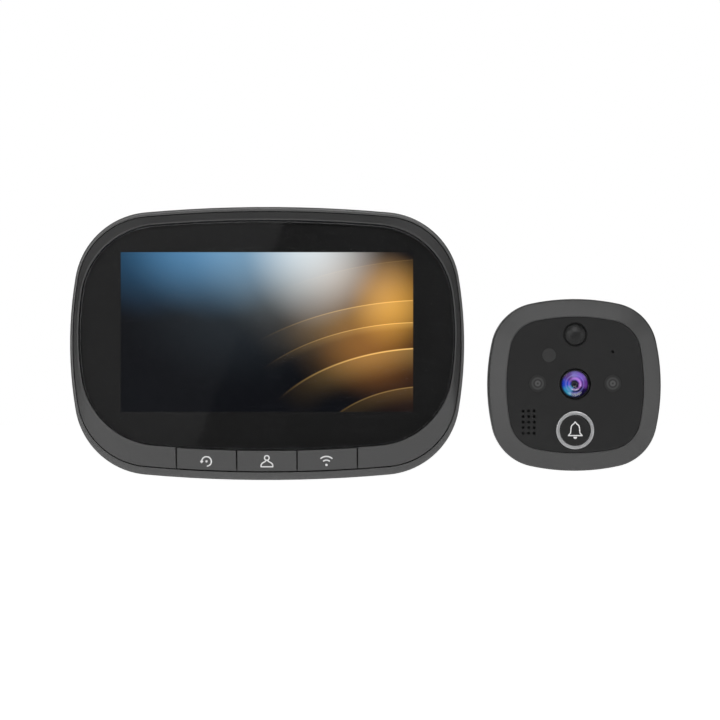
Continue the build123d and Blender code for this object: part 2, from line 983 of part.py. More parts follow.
def camera_shell():
    """The outside of the camera's housing: drafted sides and the wide sloping rim."""
    body = tapered(
        camera_outline.face(camera_taper),
        gasket_thickness,
        camera_outline.face(),
        gasket_thickness + camera_taper_height,
    )
    body += plate(camera_outline.face(), gasket_thickness + camera_taper_height, camera_side_height)
    body += tapered(
        camera_outline.face(), camera_side_height, face_outline.face(-face_lip), camera_depth
    )
    body = fillet(rim_edges(body, camera_side_height), camera_rim_radius)
    return fillet(rim_edges(body, gasket_thickness), camera_back_radius)


def cover_boss(x, y):
    """A screw post in a corner of the housing, tied to the wall by a rib."""
    post = rod(x, y, cover_boss_radius, cover_top, cover_boss_height)
    angle = math.degrees(math.atan2(y, x))
    reach = camera_corner_radius
    rib = Pos(x, y, (cover_top + cover_boss_height) / 2) * Rot(0, 0, angle)
    return post + rib * Pos(reach / 2, 0, 0) * Box(reach, cover_rib_width, cover_boss_height - cover_top)


def camera_housing():
    """The camera's one-piece moulded body, open at the back."""
    shell = camera_shell()
    taper_top = gasket_thickness + camera_taper_height
    cavity = tapered(
        camera_outline.face(cover_inset + cover_ledge), cover_top, camera_outline.face(camera_wall), taper_top
    )
    cavity += plate(camera_outline.face(camera_wall), taper_top, camera_cavity_height)
    body = shell - cavity
    for x, y in mirrored(cover_screw_x, cover_screw_y):
        pilot = cover_screw_radius + thread_clearance
        post = cover_boss(x, y) & shell
        body += post
        body -= rod(x, y, pilot, cover_top - overrun, cover_top + cover_screw_length)
    body -= plate(camera_outline.face(cover_inset), gasket_thickness - overrun, cover_top)
    body -= plate(face_outline.face(face_shelf), camera_cavity_height - overrun, camera_depth)
    return body - plate(face_outline.face(), face_back, camera_depth + overrun)


def face_holes():
    """Places and radii of the round holes in the camera's face."""
    holes = [
        (0, lens_y, lens_hole_radius),
        (0, pir_y, pir_radius + fit_gap),
        (-lamp_x, lamp_y, lamp_window_radius + fit_gap),
        (lamp_x, lamp_y, lamp_window_radius + fit_gap),
        (light_x, light_y, light_window_radius + fit_gap),
        (mic_x, mic_y, mic_hole_radius),
        (0, bell_y, bell_ring_radius + fit_gap),
    ]
    for column in range(sound_columns):
        for row in range(sound_rows):
            x = sound_x + (column - (sound_columns - 1) / 2) * sound_pitch
            y = sound_y + (row - (sound_rows - 1) / 2) * sound_pitch
            holes.append((x, y, sound_hole_radius))
    return holes


def camera_face():
    """Black face plate of the camera, with all its holes."""
    body = plate(face_outline.face(face_gap), face_back, face_front)
    body = chamfer(rim_edges(body, face_front), face_gap)
    for x, y, radius in face_holes():
        body -= rod(x, y, radius, face_back - overrun, face_front + overrun)
    return body


def camera_back_cover():
    """Plate that closes the camera's back, with the posts for the threaded inserts."""
    body = plate(camera_outline.face(cover_inset + cover_gap), gasket_thickness, cover_top)
    post_top = gasket_thickness + insert_length + insert_wall / 2
    for x in (-door_screw_spacing / 2, door_screw_spacing / 2):
        body += rod(x, 0, insert_radius + insert_wall, gasket_thickness, post_top)
        body -= rod(x, 0, insert_radius, gasket_thickness - overrun, gasket_thickness + insert_length)
    body -= rod(0, -grommet_drop, grommet_radius, gasket_thickness - overrun, cover_top + overrun)
    for x, y in mirrored(cover_screw_x, cover_screw_y):
        seat = gasket_thickness + cover_screw_head
        body -= rod(
            x, y, cover_screw_head_radius + recess_clearance / 2, gasket_thickness - overrun, seat
        )
        body -= rod(x, y, cover_screw_radius + screw_clearance, gasket_thickness, cover_top + overrun)
    return body


def cover_screws():
    """Four screws that close the camera's back."""
    screws = []
    for x, y in mirrored(cover_screw_x, cover_screw_y):
        low = gasket_thickness
        head = rod(x, y, cover_screw_head_radius, low, low + cover_screw_head)
        shank = rod(x, y, cover_screw_radius, low, cover_top + cover_screw_length - thread_clearance)
        drive = rod(x, y, drive_radius, low - overrun, low + drive_depth)
        screws.append(head + shank - drive)
    return screws


def door_gasket():
    """Soft ring that seals the camera against the outside of the door."""
    body = plate(camera_outline.face(gasket_inset), 0, gasket_thickness)
    inner = camera_outline.face(gasket_inset + gasket_width)
    return body - plate(inner, -overrun, gasket_thickness + overrun)


def threaded_inserts():
    """Two brass inserts that take the long screws from inside the door."""
    high = gasket_thickness + insert_length
    return [
        tube(x, 0, insert_radius, insert_hole_radius, gasket_thickness, high)
        for x in (-door_screw_spacing / 2, door_screw_spacing / 2)
    ]


def cable_grommet():
    """Rubber grommet where the lead enters the camera's back."""
    high = cover_top + grommet_flange_thickness
    y = -grommet_drop
    body = rod(0, y, grommet_radius, gasket_thickness, high)
    body += rod(0, y, grommet_radius + grommet_flange, cover_top, high)
    return body - rod(0, y, grommet_hole_radius, gasket_thickness - overrun, high + overrun)


def camera_board():
    """The camera's circuit board, notched round the corner posts."""
    face = camera_outline.face(camera_wall + camera_taper + camera_board_margin)
    body = plate(face, camera_board_height, camera_board_top)
    for x, y in mirrored(cover_screw_x, cover_screw_y):
        notch = cover_boss_radius + boss_notch_gap
        reach = camera_corner_radius
        angle = math.degrees(math.atan2(y, x))
        body -= rod(x, y, notch, camera_board_height - overrun, camera_board_top + overrun)
        turned = Pos(x, y, camera_board_height) * Rot(0, 0, angle) * Pos(reach / 2, 0, 0)
        body -= turned * Box(reach, 2 * notch, 2 * (camera_board_thickness + overrun))
    return body


def board_header():
    """Socket on the back of the camera's board for the same lead."""
    return block(
        0, header_y, header_width, header_height, camera_board_height - header_length, camera_board_height
    )


def image_sensor():
    """Sensor chip under the lens."""
    return block(
        0, lens_y, sensor_size, sensor_size, camera_board_top, camera_board_top + sensor_thickness
    )


def lens_heights():
    """Heights of the lens: back end, underside of the wide head, glass seat and front rim."""
    front = lens_front
    head_low = front - lens_head_height
    return head_low - lens_thread_length, head_low, front - lens_seat_depth, front


def lens_holder():
    """Threaded holder that stands over the sensor and carries the lens."""
    back, head_low, seat, front = lens_heights()
    base_top = camera_board_top + holder_base
    body = block(0, lens_y, holder_size, holder_size, camera_board_top, base_top)
    body += rod(0, lens_y, holder_tower_radius, camera_board_top, head_low)
    room = sensor_size + 2 * sensor_gap
    room_top = camera_board_top + sensor_thickness + sensor_gap
    body -= block(0, lens_y, room, room, camera_board_top - overrun, room_top)
    bore = lens_thread_radius + holder_wall_gap
    return body - rod(0, lens_y, bore, camera_board_top, head_low + overrun)


def lens_barrel():
    """Lens barrel: a thread below, and a wide head with the seat for the front glass."""
    back, head_low, seat, front = lens_heights()
    body = rod(0, lens_y, lens_thread_radius, back, head_low)
    body += rod(0, lens_y, lens_head_radius, head_low, front)
    body = chamfer(rim_edges(body, front), (lens_head_radius - lens_glass_radius) / 2)
    body -= rod(0, lens_y, lens_glass_radius + lens_glass_gap, seat, front + overrun)
    return body - rod(0, lens_y, lens_bore_radius, back - overrun, seat + overrun)


def lens_glass():
    """Domed front element."""
    back, head_low, seat, front = lens_heights()
    top = seat + lens_glass_edge
    edge = rod(0, lens_y, lens_glass_radius, seat, top)
    return edge + dome(0, lens_y, lens_glass_radius, top, lens_glass_rise)


def flanged_window(x, y, radius, front, flange):
    """A tinted disc in a hole of the face, with a flange behind it."""
    body = rod(x, y, radius, face_back - flange_thickness, front)
    return body + rod(x, y, radius + flange, face_back - flange_thickness, face_back)


def lamp_windows():
    """Tinted windows over the two infrared lamps."""
    return [
        flanged_window(x, lamp_y, lamp_window_radius, face_front, flange_width)
        for x in (-lamp_x, lamp_x)
    ]


def light_window():
    """Tinted window over the light sensor."""
    return flanged_window(light_x, light_y, light_window_radius, face_front, flange_width)


def round_lamp(x, y):
    """A lamp or sensor in a round-nosed body on the camera's board."""
    body = rod(x, y, lamp_radius, camera_board_top, camera_board_top + lamp_height)
    body += rod(x, y, lamp_radius + lamp_collar, camera_board_top, camera_board_top + lamp_collar)
    nose = Pos(x, y, camera_board_top + lamp_height) * Sphere(lamp_radius)
    return body + nose


def infrared_lamps():
    """The two infrared lamps."""
    return [round_lamp(x, lamp_y) for x in (-lamp_x, lamp_x)]


def light_sensor():
    """The daylight sensor."""
    return round_lamp(light_x, light_y)


def pir_lens():
    """Domed lens of the motion sensor, moulded hollow with a flange behind the face."""
    body = flanged_window(0, pir_y, pir_radius, face_front, flange_width)
    body += dome(0, pir_y, pir_radius, face_front, pir_rise)
    inner = pir_radius - pir_wall
    room = rod(0, pir_y, inner, face_back - flange_thickness - overrun, face_front - pir_wall)
    room += dome(0, pir_y, inner, face_front - pir_wall, pir_rise)
    return body - room


def pir_sensor():
    """Metal can of the motion sensor on the camera's board."""
    high = camera_board_top + pir_can_height
    body = rod(0, pir_y, pir_can_radius, camera_board_top, high)
    return body + rod(0, pir_y, pir_can_radius + lamp_collar, camera_board_top, camera_board_top + lamp_collar)


def microphone():
    """Microphone capsule behind its hole in the face."""
    return rod(mic_x, mic_y, mic_radius, face_back - mic_length, face_back)


def camera_speaker():
    """Small loudspeaker behind the grid of holes."""
    return round_speaker(
        sounder_x,
        sounder_y,
        sounder_radius,
        sounder_frame,
        sounder_radius * sounder_magnet_share,
        sounder_magnet,
        face_back,
        -1,
    )


def bell_ring():
    """Bright ring round the doorbell button, held by a flange behind the face."""
    high = face_front + bell_ring_stand
    body = rod(0, bell_y, bell_ring_radius, bell_flange_low, high)
    body = fillet(rim_edges(body, high), bell_ring_stand)
    body += rod(0, bell_y, bell_ring_radius + bell_flange, bell_flange_low, face_back)
    return body - rod(0, bell_y, bell_ring_inner_radius, bell_flange_low - overrun, high + overrun)


def doorbell_button():
    """Round push button, kept in by its flange behind the ring."""
    radius = bell_ring_inner_radius - bell_cap_gap
    high = face_front - bell_cap_recess
    body = rod(0, bell_y, radius, bell_cap_low, high)
    body = fillet(rim_edges(body, high), bell_cap_edge)
    return body + rod(0, bell_y, radius + bell_cap_flange, bell_cap_low, bell_flange_low)


def bell_switch_top():
    """Height of the doorbell switch's body, clear of the button when it is pressed home."""
    return bell_cap_low - bell_travel - bell_switch_slack


def doorbell_switch():
    """Push switch under the doorbell button."""
    top = bell_switch_top()
    body = block(0, bell_y, bell_switch_width, bell_switch_width, camera_board_top, top)
    well = plunger_radius + plunger_gap
    well_low = top - bell_travel - plunger_depth - plunger_gap
    return body - rod(0, bell_y, well, well_low, top + overrun)


def doorbell_plunger():
    """Moving stud of the doorbell switch."""
    return rod(0, bell_y, plunger_radius, bell_switch_top() - plunger_depth, bell_cap_low)


def monitor_pieces():
    """Node names and solids of the indoor monitor and its bracket."""
    left_x, middle_x, right_x = key_places
    return {
        "door_bracket": door_bracket(),
        "rear_housing": rear_housing(),
        "front_bezel": front_bezel(),
        "screen_window": screen_window(),
        "screen_mask": screen_mask(),
        "lcd_module": lcd_module(),
        "backlight_tray": backlight_tray(),
        "main_board": main_board(),
        "board_screws": board_screws(),
        "case_screws": case_screws(),
        "battery_pack": battery_pack(),
        "monitor_speaker": monitor_speaker(),
        "camera_cable_socket": cable_socket(),
        "usb_socket": usb_socket(),
        "card_socket": card_socket(),
        "power_switch": power_switch(),
        "power_slider": power_slider(),
        "processor_chip": processor_chip(),
        "radio_module": radio_module(),
        "wireless_aerial": wireless_aerial(),
        "key_switches": key_switches(),
        "replay_key": front_key(left_x),
        "call_key": front_key(middle_x),
        "wireless_key": front_key(right_x),
        "replay_plunger": key_plunger(left_x),
        "call_plunger": key_plunger(middle_x),
        "wireless_plunger": key_plunger(right_x),
    }


def camera_pieces():
    """Node names and solids of the outdoor camera, round its own middle."""
    return {
        "camera_housing": camera_housing(),
        "camera_face": camera_face(),
        "camera_back_cover": camera_back_cover(),
        "cover_screws": cover_screws(),
        "door_gasket": door_gasket(),
        "threaded_inserts": threaded_inserts(),
        "cable_grommet": cable_grommet(),
        "camera_board": camera_board(),
        "board_header": board_header(),
        "image_sensor": image_sensor(),
        "lens_holder": lens_holder(),
        "lens_barrel": lens_barrel(),
        "lens_glass": lens_glass(),
        "lamp_windows": lamp_windows(),
        "infrared_lamps": infrared_lamps(),
        "light_window": light_window(),
        "light_sensor": light_sensor(),
        "pir_lens": pir_lens(),
        "pir_sensor": pir_sensor(),
        "microphone": microphone(),
        "camera_speaker": camera_speaker(),
        "bell_ring": bell_ring(),
        "doorbell_switch": doorbell_switch(),
        "doorbell_button": doorbell_button(),
        "doorbell_plunger": doorbell_plunger(),
    }


def save(name, solids, place):
    """Stands one piece up in its place and writes it."""
    several = solids if isinstance(solids, list) else [solids]
    stood = [Rot(90, 0, 0) * place * solid for solid in several]
    shape = stood[0] if len(stood) == 1 else Compound(children=stood)
    export_step(shape, f"parts/{name}.step")


def main():
    """Builds and writes every piece."""
    os.makedirs("parts", exist_ok=True)
    for name, solids in monitor_pieces().items():
        save(name, solids, Pos(0, 0, 0))
    for name, solids in camera_pieces().items():
        save(name, solids, Pos(camera_x, camera_y, 0))


main()
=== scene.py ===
"""Looks of a two-unit peephole door camera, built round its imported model.

The units face -Y with +Z up. Lengths are in metres, apart from the drawings of icons and turned
parts, which are in millimetres and say so.
"""

import logging
import math
from collections.abc import Callable, Iterable
from dataclasses import dataclass, field
from enum import Enum
from functools import cache

import bmesh
import bpy
from mathutils import Color, Matrix, Vector
from mathutils.bvhtree import BVHTree


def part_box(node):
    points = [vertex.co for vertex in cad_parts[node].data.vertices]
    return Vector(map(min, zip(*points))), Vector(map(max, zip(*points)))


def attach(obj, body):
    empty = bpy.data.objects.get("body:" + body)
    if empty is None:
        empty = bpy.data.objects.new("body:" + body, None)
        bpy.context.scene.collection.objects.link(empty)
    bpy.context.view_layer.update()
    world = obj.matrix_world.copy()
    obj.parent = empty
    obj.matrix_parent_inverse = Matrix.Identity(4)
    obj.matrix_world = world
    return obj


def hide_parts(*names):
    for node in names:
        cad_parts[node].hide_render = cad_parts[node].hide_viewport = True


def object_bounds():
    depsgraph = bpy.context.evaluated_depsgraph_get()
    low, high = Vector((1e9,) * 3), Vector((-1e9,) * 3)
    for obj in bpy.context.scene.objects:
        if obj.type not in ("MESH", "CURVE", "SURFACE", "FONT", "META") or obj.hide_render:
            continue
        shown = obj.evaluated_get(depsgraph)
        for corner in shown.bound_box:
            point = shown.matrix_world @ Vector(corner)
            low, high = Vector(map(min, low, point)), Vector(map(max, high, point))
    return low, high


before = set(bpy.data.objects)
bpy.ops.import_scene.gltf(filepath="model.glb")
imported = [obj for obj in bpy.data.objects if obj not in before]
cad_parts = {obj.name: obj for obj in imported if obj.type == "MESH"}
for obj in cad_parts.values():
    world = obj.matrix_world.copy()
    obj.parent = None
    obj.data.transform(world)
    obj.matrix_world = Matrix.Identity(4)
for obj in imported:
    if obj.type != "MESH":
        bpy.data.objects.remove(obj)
CAD_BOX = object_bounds()
LOG = logging.getLogger("door_camera")

Triple = tuple[float, float, float]
Colour = Triple
Material = bpy.types.Material
Mesh = bpy.types.Mesh
NodeTree = bpy.types.NodeTree
Point = tuple[float, float]
Shape = bmesh.types.BMesh
Socket = bpy.types.NodeSocket
Value = Socket | tuple[float, ...] | float

MM = 0.001
ORIGIN = (0.0, 0.0)
MERGE = 0.000001
TOP_LEVEL = 255
MIX_LOW, MIX_HIGH, MIX_RESULT = 6, 7, 2
SOCKET_KINDS = {
    **dict.fromkeys(("Vector", "Place", "Centre", "Reach", "Stretch"), "Vector"),
    **dict.fromkeys(("Base", "Colour"), "Color"),
}


class Body(Enum):
    """The bodies that new pieces ride on."""

    FIXED = "door_fixed"
    MONITOR = "monitor"
    REPLAY = "replay_button"
    CALL = "call_button"
    WIRELESS = "wireless_button"
    BELL = "bell_button"


class Slot(Enum):
    """Names of the record's material slots, passed along with new pieces."""

    CASE = "case_plastic"
    BEZEL = "bezel_plastic"
    SCREEN = "screen_glass"
    FILM = "black_film"
    DISPLAY = "display_panel"
    STEEL = "plated_steel"
    SCREW = "screw_steel"
    CAMERA = "camera_plastic"
    FACE = "face_plastic"
    LENS_METAL = "lens_metal"
    LENS_GLASS = "lens_glass"
    PIR = "pir_plastic"
    RING = "ring_metal"
    STUD = "switch_stud"


def tint(red: float, green: float, blue: float) -> Colour:
    """Linear colour of three screen levels from 0 to 255."""
    return tuple((Color((red, green, blue)) / TOP_LEVEL).from_srgb_to_scene_linear())


def grey(level: float) -> Colour:
    """Linear colour of a neutral screen level from 0 to 255."""
    return tint(level, level, level)


def even(share: float) -> Colour:
    """Linear colour with the same value in each channel."""
    return share, share, share


# Shader building


class Tree:
    """Adds nodes to one shader tree and wires them."""

    def __init__(self, tree: NodeTree) -> None:
        """Keeps the tree that the nodes go into."""
        self.tree = tree

    @classmethod
    def group(cls, name: str, *inputs: str) -> tuple["Tree", list[Socket]]:
        """Starts a shared node group.

        Args:
            name: The group's name.
            inputs: The names of its inputs.

        Returns:
            Its tree, and the sockets that its inputs are read from.
        """
        tree = cls(bpy.data.node_groups.new(name, "ShaderNodeTree"))
        tree.open("INPUT", inputs)
        entry = tree.tree.nodes.new("NodeGroupInput")
        return tree, [entry.outputs[label] for label in inputs]

    def open(self, side: str, labels: Iterable[str]) -> None:
        """Gives a group sockets, whose types go with their names.

        Args:
            side: INPUT or OUTPUT.
            labels: The sockets' names.
        """
        for label in labels:
            kind = f"NodeSocket{SOCKET_KINDS.get(label, 'Float')}"
            self.tree.interface.new_socket(name=label, in_out=side, socket_type=kind)

    def close(self, **results: Socket) -> NodeTree:
        """Ends a group.

        Args:
            results: The group's results by their names.

        Returns:
            The group.
        """
        self.open("OUTPUT", results)
        self.feed(self.tree.nodes.new("NodeGroupOutput"), results)
        return self.tree

    def feed(self, node: bpy.types.Node, inputs: dict[int | str, Value]) -> None:
        """Sets or links inputs of a node.

        Args:
            node: The node.
            inputs: Values or sockets by the inputs' numbers or names. A colour has three values.
        """
        for key, value in inputs.items():
            socket = node.inputs[key]
            if isinstance(value, Socket):
                self.tree.links.new(value, socket)
            else:
                socket.default_value = (*value, 1.0) if socket.type == "RGBA" else value

    def add(
        self, kind: str, *values: Value, settings: dict | None = None, **named: Value
    ) -> bpy.types.Node:
        """Adds one node.

        Args:
            kind: The node type without its ShaderNode prefix.
            values: Values or sockets for the first inputs.
            settings: Properties set on the node itself.
            named: Values or sockets for named inputs, where an underscore stands for a space.

        Returns:
            The new node.
        """
        node = self.tree.nodes.new(f"ShaderNode{kind}")
        for name, value in (settings or {}).items():
            setattr(node, name, value)
        self.feed(node, dict(enumerate(values)))
        self.feed(node, {name.replace("_", " "): value for name, value in named.items()})
        return node

    def use(self, group: Callable, **named: Value) -> bpy.types.NodeOutputs:
        """Adds a shared group with its inputs, and gives its outputs."""
        return self.add("Group", settings={"node_tree": group()}, **named).outputs

    def math(self, operation: str, *values: Value, clamp: bool = False) -> Socket:
        """Adds a Math node, whose result can be held between 0 and 1."""
        settings = {"operation": operation, "use_clamp": clamp}
        return self.add("Math", *values, settings=settings).outputs[0]

    def vector(self, operation: str, *values: Value, **named: Value) -> Socket:
        """Adds a Vector Math node, and gives its vector, or its number where it makes one."""
        node = self.add("VectorMath", *values, settings={"operation": operation}, **named)
        return node.outputs["Value" if operation in ("LENGTH", "DOT_PRODUCT") else "Vector"]

    def noise(self, place: Value, scale: Value, detail: float = 2.0, **named: Value) -> Socket:
        """Adds a Noise texture."""
        return self.add("TexNoise", Vector=place, Scale=scale, Detail=detail, **named).outputs[0]

    def bump(self, height: Socket, depth: float) -> Socket:
        """Turns a height from 0 to 1, which stands for a depth in metres, into a normal."""
        return self.add("Bump", Height=height, Distance=depth, Strength=1.0).outputs[0]

    def blend(self, mask: Value, low: Value, high: Value) -> Socket:
        """Mixes two colours.

        Args:
            mask: The share of the second colour.
            low: The first colour or socket.
            high: The second colour or socket.

        Returns:
            The mixed colour.
        """
        node = self.add("Mix", mask, settings={"data_type": "RGBA"})
        self.feed(node, {MIX_LOW: low, MIX_HIGH: high})
        return node.outputs[MIX_RESULT]

    def ramp(
        self, value: Value, low: float, high: float, start: float = 0.0, end: float = 1.0
    ) -> Socket:
        """Carries a value smoothly from the range low to high into the range start to end."""
        smooth = {"interpolation_type": "SMOOTHSTEP"}
        return self.add("MapRange", value, low, high, start, end, settings=smooth).outputs[0]

    def band(self, value: Value, rise: Point, fall: Point) -> Socket:
        """Is 1 between two ranges of a value, and runs smoothly to 0 over each."""
        return self.math("MULTIPLY", self.ramp(value, *rise), self.ramp(value, *fall))

    def radius(self, across: Socket, up: Socket) -> Socket:
        """The distance in millimetres from two lengths in metres."""
        flat = self.add("CombineXYZ", across, up).outputs[0]
        return self.math("DIVIDE", self.vector("LENGTH", flat), MM)


class Surface(Tree):
    """The tree of a material with a Principled shader, and its Object coordinates."""

    def __init__(self, name: str) -> None:
        """Starts the material.

        Args:
            name: The material's name.
        """
        self.material = bpy.data.materials.new(name)
        self.material.use_nodes = True
        self.material.node_tree.nodes.clear()
        super().__init__(self.material.node_tree)
        self.place = self.add("TexCoord").outputs["Object"]

    def finish(self, **inputs: Value) -> Material:
        """Ends the material.

        Args:
            inputs: The shader's inputs, where an underscore stands for a space.

        Returns:
            The material.
        """
        shader = self.add("BsdfPrincipled", **inputs)
        self.add("OutputMaterial", Surface=shader.outputs[0])
        return self.material

    def dust(self, amount: float) -> Socket:
        """The mask of dust on the surface."""
        return self.use(fine_dust, Vector=self.place, Amount=amount)[0]

    def wear(self, width: float, amount: float) -> Socket:
        """The mask of rubbed edges."""
        return self.use(rubbed_edges, Vector=self.place, Width=width, Amount=amount)[0]

    def away_from(self, centre: Point) -> tuple[Socket, Socket]:
        """How far a place lies across and up from a point."""
        across, _, up = self.add("SeparateXYZ", self.place).outputs
        return self.math("SUBTRACT", across, centre[0]), self.math("SUBTRACT", up, centre[1])


@cache
def moulded_grain() -> NodeTree:
    """Fine spark-eroded texture of moulded plastic, with slow changes of tone and gloss.

    Returns:
        The group.
    """
    tree, (place, grains, base, spread, roughness) = Tree.group(
        "moulded_grain", "Vector", "Grains per Metre", "Base", "Spread", "Roughness"
    )
    pits = tree.ramp(tree.noise(place, grains), 0.28, 0.72)
    swing = tree.math("SUBTRACT", tree.noise(place, 38.0, 3.0, Roughness=0.55), 0.5)
    lift = tree.math("MULTIPLY_ADD", swing, spread, 1.0)
    flecks = tree.math("MULTIPLY_ADD", pits, 0.12, 0.94)
    colour = tree.vector("SCALE", base, Scale=tree.math("MULTIPLY", lift, flecks))
    rough = tree.math("MULTIPLY_ADD", swing, 0.22, roughness)
    return tree.close(Colour=colour, Roughness=rough, Height=pits)


@cache
def rubbed_edges() -> NodeTree:
    """A mask of the edges, broken up as handling leaves them.

    Returns:
        The group.
    """
    tree, (place, width, amount) = Tree.group("rubbed_edges", "Vector", "Width", "Amount")
    rounded = tree.add("Bevel", width, settings={"samples": 4}).outputs[0]
    turn = tree.vector("DOT_PRODUCT", rounded, tree.add("NewGeometry").outputs["Normal"])
    edge = tree.ramp(turn, 0.995, 0.80)
    broken = tree.ramp(tree.noise(place, 420.0, 4.0, Roughness=0.6), 0.34, 0.66)
    worn = tree.math("MULTIPLY", edge, broken)
    return tree.close(Mask=tree.math("MULTIPLY", worn, amount, clamp=True))


@cache
def fine_dust() -> NodeTree:
    """A mask of sparse specks and faint smears on a polished face.

    Returns:
        The group.
    """
    tree, (place, amount) = Tree.group("fine_dust", "Vector", "Amount")
    cells = tree.add("TexVoronoi", Vector=place, Scale=620.0)
    specks = tree.ramp(cells.outputs["Distance"], 0.10, 0.03)
    sparse = tree.math("MULTIPLY", specks, tree.ramp(tree.noise(place, 300.0, 1.0), 0.60, 0.68))
    smear = tree.ramp(tree.noise(place, 24.0, 1.5, Distortion=0.8), 0.45, 0.80)
    total = tree.math("MAXIMUM", sparse, tree.math("MULTIPLY", smear, 0.25))
    return tree.close(Mask=tree.math("MULTIPLY", total, amount, clamp=True))


@cache
def drawn_lines() -> NodeTree:
    """Fine lines left along one direction by rolling or brushing metal.

    Returns:
        The group.
    """
    tree, (place, stretch, base, roughness) = Tree.group(
        "drawn_lines", "Vector", "Stretch", "Base", "Roughness"
    )
    lines = tree.noise(tree.vector("MULTIPLY", place, stretch), 1.0, 3.0, Roughness=0.65)
    swing = tree.math("SUBTRACT", lines, 0.5)
    drift = tree.math("SUBTRACT", tree.noise(place, 90.0, 4.0), 0.5)
    share = tree.math("MULTIPLY_ADD", swing, 0.35, tree.math("MULTIPLY_ADD", drift, 0.25, 1.0))
    rough = tree.math("MULTIPLY_ADD", swing, 0.22, roughness, clamp=True)
    return tree.close(Colour=tree.vector("SCALE", base, Scale=share), Roughness=rough, Height=lines)


@cache
def soft_glow() -> NodeTree:
    """An oval glow on a picture, full at its centre and gone at its edge.

    Returns:
        The group.
    """
    tree, (place, centre, reach) = Tree.group("soft_glow", "Place", "Centre", "Reach")
    share = tree.vector("DIVIDE", tree.vector("SUBTRACT", place, centre), reach)
    return tree.close(Mask=tree.ramp(tree.vector("LENGTH", share), 1.0, 0.0))


@cache
def thin_ring() -> NodeTree:
    """A thin bright ring on a picture, with a broad faint skirt inside it.

    Returns:
        The group.
    """
    tree, (place, centre, stretch, radius, line, skirt) = Tree.group(
        "thin_ring", "Place", "Centre", "Stretch", "Radius", "Line", "Skirt"
    )
    away = tree.vector("MULTIPLY", tree.vector("SUBTRACT", place, centre), stretch)
    inside = tree.math("SUBTRACT", radius, tree.vector("LENGTH", away))
    near = tree.math("DIVIDE", tree.math("ABSOLUTE", inside), line)
    fading = tree.ramp(tree.math("DIVIDE", inside, skirt), 1.0, 0.0)
    within = tree.math("GREATER_THAN", inside, 0.0)
    return tree.close(Line=tree.ramp(near, 1.0, 0.0), Skirt=tree.math("MULTIPLY", fading, within))


# Finishes


@dataclass(frozen=True)
class Finish:
    """A look of a surface. Equal finishes share one material."""

    name: str

    def material(self) -> Material:
        """Builds the look, which each kind of finish does in its own way."""
        raise NotImplementedError(self.name)


@dataclass(frozen=True)
class MouldedPlastic(Finish):
    """Opaque moulded plastic with a fine grain and rubbed edges."""

    colour: Colour
    roughness: float = 0.42
    grains: float = 5200.0
    spread: float = 0.16
    depth: float = 0.000012
    wear: float = 0.30
    wear_width: float = 0.00035
    gloss: float = 0.5
    worn_gain: float = 1.7
    worn_lift: float = 0.006
    worn_roughness: float = -0.12

    @cache
    def material(self) -> Material:
        """Builds the finish.

        Returns:
            The material.
        """
        tree = Surface(self.name)
        grain = tree.use(
            moulded_grain, Vector=tree.place, Grains_per_Metre=self.grains, Base=self.colour,
            Spread=self.spread, Roughness=self.roughness,
        )
        edges = tree.wear(self.wear_width, self.wear)
        worn = tuple(channel * self.worn_gain + self.worn_lift for channel in self.colour)
        rough, change = grain["Roughness"], self.worn_roughness
        return tree.finish(
            Base_Color=tree.blend(edges, grain["Colour"], worn),
            Roughness=tree.math("MULTIPLY_ADD", edges, change, rough, clamp=True),
            Specular_IOR_Level=self.gloss, Normal=tree.bump(grain["Height"], self.depth),
        )


@dataclass(frozen=True)
class PolishedPlastic(Finish):
    """Dark polished plastic with dust and faint smears."""

    colour: Colour
    roughness: float = 0.10
    dust: float = 0.5
    dusty: Colour = (0.05, 0.05, 0.052)
    dull: float = 0.25

    @cache
    def material(self) -> Material:
        """Builds the finish.

        Returns:
            The material.
        """
        tree = Surface(self.name)
        dust = tree.dust(self.dust)
        return tree.finish(
            Base_Color=tree.blend(dust, self.colour, self.dusty),
            Roughness=tree.ramp(dust, 0.0, 1.0, self.roughness, self.roughness + self.dull),
        )


@dataclass(frozen=True)
class LampWindow(Finish):
    """Smoked window on which the round head of a lamp behind it is painted: lighter on the head and
    the well round it, as painted highlights where light catches them, and darker again at its core.

    The head, the well round it and the core are drawn by radius, in millimetres.
    """

    reach: float
    centre: Point
    colour: Colour = grey(44)
    # painted highlight: the lighter tone of the lamp's head and its well
    lit: Colour = grey(84)
    roughness: float = 0.10
    head: Point = (1.15, 0.75)
    well: tuple[Point, Point] = ((1.25, 1.55), (2.25, 1.75))
    core: Point = (0.45, 0.25)
    shares: Triple = (0.7, 0.35, 0.8)
    dust_amount: float = 0.2
    dusty: Colour = (0.05, 0.05, 0.052)

    @cache
    def material(self) -> Material:
        """Builds the window's tone and the painted highlights of the lamp behind it from the
        distance to the nearer lamp's axis.

        Returns:
            The material.
        """
        tree = Surface(self.name)
        across, up = tree.away_from(self.centre)
        side = tree.math("SUBTRACT", tree.math("ABSOLUTE", across), self.reach)
        radius = tree.radius(side, up)
        colour: Value = self.colour
        head, well, core = self.shares
        # painted highlights on the head and the well, then a darker core, then dust
        for mask, share, shade in (
            (tree.ramp(radius, *self.head), head, self.lit),
            (tree.band(radius, *self.well), well, self.lit),
            (tree.ramp(radius, *self.core), core, self.colour),
            (tree.dust(self.dust_amount), 1.0, self.dusty),
        ):
            colour = tree.blend(tree.math("MULTIPLY", mask, share), colour, shade)
        return tree.finish(Base_Color=colour, Roughness=self.roughness)


